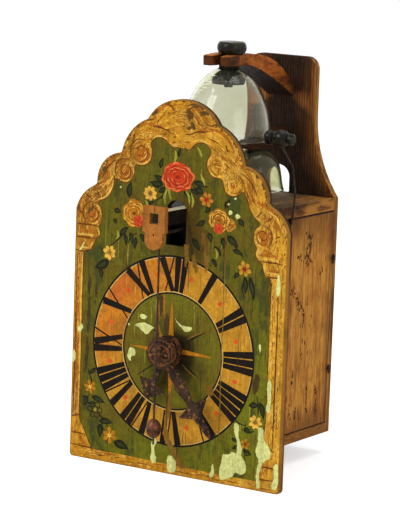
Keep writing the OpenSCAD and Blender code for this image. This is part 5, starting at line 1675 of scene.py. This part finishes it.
def ragged(points, seed, rough=0.5, steps=5):
    """A closed outline made restless, as flaked paint is."""
    dice = random.Random(seed)
    return [p + Vector((dice.uniform(-rough, rough), dice.uniform(-rough, rough)))
            for p in smooth_line(points, steps, closed=True)]


flake_rows = [
    [(46, 4), (45, 11), (47, 19), (48, 24), (53, 25), (57, 27.5), (60, 27), (60.5, 36), (58, 42),
     (57, 49), (59.5, 51), (62, 48), (61.5, 42), (63.5, 36), (65.5, 31), (64.5, 26), (68, 22),
     (69.5, 17), (69, 13), (65, 10.5), (60, 11.5), (57, 7.5), (52, 5)],
    [(80, 2.5), (79, 14), (81, 24), (78, 31), (79.5, 40), (79.5, 49.5), (84, 50), (85, 42),
     (88, 38), (91, 34), (91, 28), (88, 26), (84.5, 22), (82, 13), (83, 4)],
    [(87, 89), (89.5, 88), (90, 80), (90, 70), (88.4, 63), (86, 66), (87.2, 74), (86, 80)],
    [(95, 22), (98, 24), (99, 18), (99, 8), (96, 3), (93, 6), (95, 12)],
    [(36, 5), (37.6, 11), (38.4, 15), (40, 11), (39.6, 6), (38, 4)],
    [(-39, 116), (-34, 118.5), (-28, 118.8), (-21, 116), (-24, 113.6), (-27, 110), (-31, 111.4),
     (-35, 114)],
    [(-34.5, 125), (-31, 125.5), (-28, 124.2), (-30, 122), (-33.5, 122)],
    [(-43, 97.5), (-38.6, 96.4), (-38.4, 92), (-42, 90), (-42.4, 86.4), (-45, 88), (-45.4, 93)],
    [(-1, 126), (3, 122.6), (9, 121), (14.5, 121), (14, 118.6), (9.6, 116.6), (5, 119.6), (1, 123)],
    [(-94.6, 104), (-95, 107), (-91, 110), (-90, 106.6), (-93.4, 103)],
    [(-99, 88), (-97, 86), (-97, 80), (-99.4, 78)],
    [(-96, 170), (-93, 171), (-90.6, 178), (-93, 174)],
    [(-17, 28), (-15, 24), (-17, 18), (-15, 10), (-17, 6.4), (-20.6, 9), (-19.6, 16), (-20, 22)],
    [(-4, 14), (-1, 15.4), (3, 12), (4, 5), (1, 1.6), (-3, 2.4), (-4.6, 8)],
    [(92, 172), (94, 170), (94.6, 160), (92.6, 155), (91, 160), (91.6, 166)],
    [(77.4, 116), (79, 115), (79, 111), (78, 110)], [(-46, 116.5), (-44, 116), (-45, 115)],
]
FLAKE_LIFT = 0.26
paint_layer("flakes", [ragged(p, i, 0.35) for i, p in enumerate(flake_rows)], FLAKE_LIFT,
            bare_ground)

# %% [markdown]
# Hands and the swinging bob have rubbed the paint thin, damp has left brown drips beside the slot,
# and the joint between two boards shows as a fine line from top to foot.

# %% Rubbed patches, stains and the joint
RUB_LIFT, JOINT_LIFT, STAIN_LIFT = 0.235, 0.245, 0.13
rub_rows = [
    [(-4, 68), (-2, 60), (-3, 50), (-6, 40), (-2, 28), (4, 20), (9, 13), (13, 8), (8, 7), (3, 12),
     (-2, 20), (-9, 30), (-8, 44), (-7, 58)],
    [(31, 76), (35, 77), (37, 72), (34, 68), (31, 71)],
    [(5, 186), (8, 185.6), (9.6, 187), (9, 180), (10, 174), (8, 171), (7.6, 166), (6, 172),
     (5.6, 180)],
    [(21, 196), (24, 196), (25.4, 186), (27, 178), (28, 170), (26.4, 166), (25, 170), (24, 178),
     (21.6, 186)],
    [(13, 178), (15, 179), (17, 174), (18.6, 168), (17, 164), (15, 168), (13.4, 172)],
]
paint_layer("rubbed_patches", [ragged(p, 40 + i, 0.65) for i, p in enumerate(rub_rows)], RUB_LIFT,
            rust_stain)
joint_line = [(43.4, 231), (43.0, 190), (43.3, 140), (42.9, 90), (43.2, 50), (43.0, 8)]
paint_layer("board_joint", [brush(joint_line, [0.3, 0.55, 0.4, 0.5, 0.3, 0.5])], JOINT_LIFT,
            umber_paint)
joint_edge = [(x + 0.55, z) for x, z in joint_line[1:]]
paint_layer("board_joint_light", [brush(joint_edge, [0.1, 0.35, 0.15, 0.3, 0.1])],
            JOINT_LIFT - 0.001, lime_paint)
stain_rows = [
    [(-85, 152), (-83, 143), (-84.4, 134), (-86.4, 142)],
    [(-84.6, 131), (-82.8, 120), (-83.6, 108), (-85.6, 104), (-86.2, 118)],
    [(-85.4, 101), (-83.6, 92), (-84.4, 80), (-87.4, 70), (-87, 84), (-86.6, 94)],
    [(-78, 146), (-76.4, 140), (-78, 133), (-79.6, 139)],
    [(42, 196), (44, 190), (44.4, 160), (43.4, 150), (41.6, 164), (41.8, 186)],
    [(75, 92), (79, 90), (78, 80), (74, 76), (73, 84)],
    [(-20, 143), (-16, 144), (-13, 141), (-12.6, 134), (-14, 128), (-16, 124), (-18, 127),
     (-16.6, 135)],
    [(-10, 128), (-7, 127), (-6.4, 121), (-8, 115), (-11, 114), (-11.6, 121)],
    [(8.4, 202), (11, 200), (12.6, 190), (14, 182), (12, 178), (10, 184), (8, 192)],
    [(-32, 196), (-29, 198), (-25, 196), (-26, 192), (-30, 191)],
]
paint_layer("stains", [ragged(p, 60 + i, 0.6) for i, p in enumerate(stain_rows)], STAIN_LIFT,
            stain_paint)

# %% [markdown]
# Woodworm has left runs of short upright slots in the right door. Each run follows a crooked path
# through the board. Holes cut into the door would change the frame's mesh, so the slots are thin
# dark leaves on the door that turn with it, every third with a black core.

# %% Worm slots in the door
SLOT_LIFT, CORE_LIFT, CORE_SHARE = 0.05, 0.08, 0.55
DOOR_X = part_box("right_door")[1].x / MM


def on_door(p, lift):
    """A place on the right door's outer face: depth and height, lift mm out from it."""
    return at(DOOR_X + lift, p.x, p.y)


worm_runs = [
    ([(109, 187), (109.5, 180), (108.5, 171), (111, 163)], 3.6, 56),
    ([(92, 172), (99, 168)], 2.0, 10), ([(84, 146), (88, 141), (94, 134), (98, 128)], 3.2, 32),
    ([(99, 130), (104, 122), (103, 114)], 2.6, 18),
    ([(103, 170), (102, 166)], 1.2, 4), ([(128, 153), (133, 158), (140, 164)], 2.0, 7),
    ([(114, 60), (114, 46), (115, 38)], 0.9, 9), ([(128, 60), (129.5, 48), (130, 37)], 1.0, 15),
    ([(90, 76), (90, 66)], 1.0, 10), ([(104, 100), (103, 84)], 1.4, 6),
    ([(96, 44), (99, 36)], 2.4, 9),
    ([(118, 128), (112, 104), (116, 84)], 6.0, 5), ([(82, 60), (88, 40)], 3.0, 9),
]
dice = random.Random(5)
slots = []
for path, spread, count in worm_runs:
    line = smooth_line(path, 8)
    for k in range(count):
        spot = line[min(int(k / count * len(line)), len(line) - 1)]
        cx, cz = spot.x + dice.gauss(0, spread * 0.6), spot.y + dice.gauss(0, 1.6)
        wide, high = dice.uniform(0.4, 0.85), dice.uniform(0.7, 2.1)
        slots.append(oval(cx, cz, wide, high, dice.gauss(0, 9), 0.2, k, 12))
paint_layer("worm_slots", slots, SLOT_LIFT, worm_dark, "right_door", on_door)
worm_cores = []
for slot_line in slots[::3]:
    middle = sum(slot_line, Vector((0, 0))) / len(slot_line)
    worm_cores.append([p + (middle - p) * (1 - CORE_SHARE) for p in slot_line])
paint_layer("worm_slot_cores", worm_cores, CORE_LIFT, black_paint, "right_door", on_door)

# %% [markdown]
# The lid has dried out and split along its grain, and it has a knot near its rear edge. Cracks are
# strokes too, laid on the lid instead of the dial.

# %% Cracks in the lid
CRACK_LIFT = 0.05
LID_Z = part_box("top_board")[1].z / MM


def on_lid(p, lift):
    """A place on the lid: x and depth, lift mm above it."""
    return at(p.x, p.y, LID_Z + lift)


crack_rows = [
    [(44, 24), (45, 60), (43.6, 100), (45, 138)], [(50, 40), (50.6, 74), (49.4, 96)],
    [(30, 60), (31.4, 100), (30.6, 141)], [(38, 104), (39.4, 122), (38.6, 143)],
    [(14, 90), (15, 143)], [(47.5, 108), (48.6, 126), (47, 143)],
    [(-14, 30), (-13, 90), (-15, 140)], [(-36, 20), (-35, 110)],
]
cracks = [brush(points, [0.2, 0.8, 0.5, 0.8, 0.2]) for points in crack_rows]
for r in (1.6, 3.1):
    knot = [on_oval(41, 128, r, 1.9 * r, a / 8 * math.pi) for a in range(16)]
    cracks.append(brush(knot, [0.4, 0.8, 0.4], 2))
paint_layer("lid_cracks", cracks, CRACK_LIFT, black_paint, "case", on_lid)

# %% [markdown]
# The small bell is blown thin and round. It is turned here from its profile with many steps, so
# that its shoulder reflects smoothly, and it takes the place of the frame's bell.

# %% Small bell
WALL, MOUTH_Z, BELL_HEIGHT, HOLE_RADIUS, BELL_DEPTH = 1.5, 219.7, 32.3, 3.4, 102.95


def turned(name, profile, axis_place, steps, material, body):
    """A closed solid of revolution about an upright axis from (radius, height) points."""
    shape = bmesh.new()
    rings = []
    for r, z in profile:
        places = [on_oval(*axis_place, r, r, 2 * math.pi * k / steps) for k in range(steps)]
        rings.append([shape.verts.new(at(x, depth, z)) for x, depth in places])
    for low, high in zip(rings, rings[1:] + rings[:1]):
        for k in range(steps):
            n = (k + 1) % steps
            shape.faces.new((low[k], low[n], high[n], high[k])).smooth = True
    mesh = bpy.data.meshes.new(name)
    bmesh.ops.recalc_face_normals(shape, faces=shape.faces)
    shape.to_mesh(mesh)
    shape.free()
    piece = bpy.data.objects.new(name, mesh)
    piece.data.materials.append(material)
    scene.collection.objects.link(piece)
    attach(piece, body)
    print("turned", name, "with", len(mesh.polygons), "faces")
    return piece


outer = smooth_line([(27.25, MOUTH_Z), (26.4, 222.6), (25.6, 226), (24.7, 232), (23.4, 238),
                     (20.9, 244), (16.6, 248.8), (10.6, 251.2), (3.4, 251.9)], 5)
inner = [Vector((max(p.x - WALL, HOLE_RADIUS), p.y - WALL * (p.y - MOUTH_Z) / BELL_HEIGHT))
         for p in outer]
lip = [(26.1, 219.62), (26.9, 219.62)]
bell_profile = [tuple(p) for p in outer] + [tuple(p) for p in inner[::-1]] + lip
small = turned("small_bell_blown", bell_profile, (0, BELL_DEPTH), 96, small_glass, "case")
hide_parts("small_bell")

# %% [markdown]
# The hands were forged and have rusted for a long time. Each is remade from the frame's hand on a
# fine grid, then eaten inwards in lumps, so that its edges waver and its faces are pitted. The hub
# keeps the rings that the hammer left on it. A bump alone would leave the outline as sharp as new.
# The bell's arm is worn in the same way.

# %% Worn hands
HUB, HUB_RADIUS = at(PIPE_X, 0, PIPE_Z), 14
LUMPS_PER_METRE, RING_WAVES = 190, 1.7


def remeshed(node_name, cell):
    """The shape of a frame node on a fine grid of cells."""
    rough = bpy.data.objects.new("rough_copy", nodes[node_name].data.copy())
    scene.collection.objects.link(rough)
    grid = rough.modifiers.new("grid", "REMESH")
    grid.mode = "VOXEL"
    grid.voxel_size = cell * MM
    depsgraph = bpy.context.evaluated_depsgraph_get()
    mesh = bpy.data.meshes.new_from_object(rough.evaluated_get(depsgraph))
    bpy.data.objects.remove(rough)
    return mesh


def worn(node_name, body, cell, bite, material, slot_name, rings=0.0):
    """A corroded copy of a frame node that stays inside the original."""
    mesh = remeshed(node_name, cell)
    low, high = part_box(node_name)
    shape = bmesh.new()
    shape.from_mesh(mesh)
    shape.normal_update()
    moves = []
    for v in shape.verts:
        lump = noise.fractal(v.co * LUMPS_PER_METRE, 0.6, 2.0, 4) * 0.5 + 0.5
        depth = bite * min(max(lump, 0.0), 1.0)
        if rings:
            r = math.hypot(v.co.x - HUB.x, v.co.z - HUB.z) / MM
            if r < HUB_RADIUS and v.normal.y < -0.5:
                depth += rings * (0.5 + 0.5 * math.sin(r * RING_WAVES + 2 * noise.noise(v.co * 90)))
        moves.append((v, v.normal * depth * MM))
    for v, move in moves:
        v.co -= move
    bmesh.ops.smooth_vert(shape, verts=shape.verts, factor=0.3, use_axis_x=True,
                          use_axis_y=True, use_axis_z=True)
    for v in shape.verts:
        v.co = Vector(min(max(c, a), b) for c, a, b in zip(v.co, low, high))
    for face in shape.faces:
        face.smooth = True
    shape.to_mesh(mesh)
    shape.free()
    mesh.materials.clear()
    mesh.materials.append(material)
    mesh.name = "worn_" + node_name
    piece = bpy.data.objects.new("worn_" + node_name, mesh)
    scene.collection.objects.link(piece)
    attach(piece, body)
    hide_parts(node_name)
    print("worn", node_name, "with", len(mesh.polygons), "faces")
    return piece


worn("minute_hand", "centre", 0.45, 0.9, hand_iron, "rusty_iron", 0.5)
worn("hour_hand", "hour", 0.45, 0.9, hand_iron, "rusty_iron", 0.3)
worn("bell_arm", "case", 0.7, 0.7, arm_wood, "arm_beech")

# %% [markdown]
# The bridge plate in front of the slot carries a warm brown paint, well rubbed. Its shape is the
# frame's own.

# %% Bridge plate
finish("bridge_plate", plate_paint)
print("bridge plate finished with", plate_paint.name)

# %% [markdown]
# A plain pale floor takes the clock's shadow. Seen by the camera it glows a little, so that it runs
# into the white background without a line, and no more light falls on the object.

# %% Floor
FLOOR_WHITE, FLOOR_GLOW, FLOOR_SIZE = 0.86, 0.5, 6.0
floor_material, tree, shader = start_material("floor", Roughness=0.9)
shader.inputs["Base Color"].default_value = (FLOOR_WHITE, FLOOR_WHITE, FLOOR_WHITE, 1)
glow = add(tree, "ShaderNodeEmission", {"Color": (1, 1, 1, 1)})
rays_seen = add(tree, "ShaderNodeLightPath")
feed(glow, {"Strength": Field(rays_seen.outputs["Is Camera Ray"]) * FLOOR_GLOW})
both_shaders = add(tree, "ShaderNodeAddShader",
                   {0: shader.outputs["BSDF"], 1: glow.outputs["Emission"]})
feed(tree.nodes["Material Output"], {"Surface": both_shaders.outputs["Shader"]})
floor_mesh = bpy.data.meshes.new("floor")
floor_shape = bmesh.new()
bmesh.ops.create_grid(floor_shape, x_segments=1, y_segments=1, size=FLOOR_SIZE)
floor_shape.to_mesh(floor_mesh)
floor_shape.free()
floor = bpy.data.objects.new("floor", floor_mesh)
floor.data.materials.append(floor_material)
scene.collection.objects.link(floor)
print("floor laid,", round(2 * FLOOR_SIZE), "m wide")

# %% [markdown]
# Camera, glossy and transmitted rays see a white world, so that glass and lacquer reflect it, while
# the light that it sheds stays at a plain level. The big lamp stands to the upper left of the
# camera, a weaker one fills from the right, and a third lights the top.

# %% World and lamps
DAYLIGHT, SEEN_WHITE = 0.55, 1.0
world = bpy.data.worlds.new("studio")
scene.world = world
world.use_nodes = True
tree = world.node_tree
tree.nodes.clear()
ray = fields_of(add(tree, "ShaderNodeLightPath"))
seen = ray["Is Camera Ray"].most(ray["Is Glossy Ray"].most(ray["Is Transmission Ray"]))
sky = add(tree, "ShaderNodeBackground",
          {"Color": (1, 1, 1, 1), "Strength": seen.spread(DAYLIGHT, SEEN_WHITE)})
add(tree, "ShaderNodeOutputWorld", {"Surface": sky.outputs["Background"]})


def lamp(name, place, aim, size, watts):
    """A soft rectangular lamp that looks at a point."""
    light = bpy.data.lights.new(name, "AREA")
    light.shape = "RECTANGLE"
    light.size, light.size_y = size
    light.energy = watts
    holder = bpy.data.objects.new(name, light)
    holder.location = place
    holder.rotation_euler = (Vector(aim) - Vector(place)).to_track_quat("-Z", "Y").to_euler()
    scene.collection.objects.link(holder)
    return holder


lamp("key", (-0.9, -1.9, 1.7), (0, 0, 0.17), (1.0, 1.2), 34)
lamp("fill", (1.9, -0.9, 0.8), (0, 0, 0.17), (0.9, 1.2), 10)
lamp("top", (0.2, 0.2, 2.2), (0, 0, 0.2), (1.2, 1.2), 12)
print("lamps on the stage:", ", ".join(light.name for light in bpy.data.lights))

# %% [markdown]
# The plain view transform shows colours as they are written.

# %% Close
scene.view_settings.view_transform = "Standard"
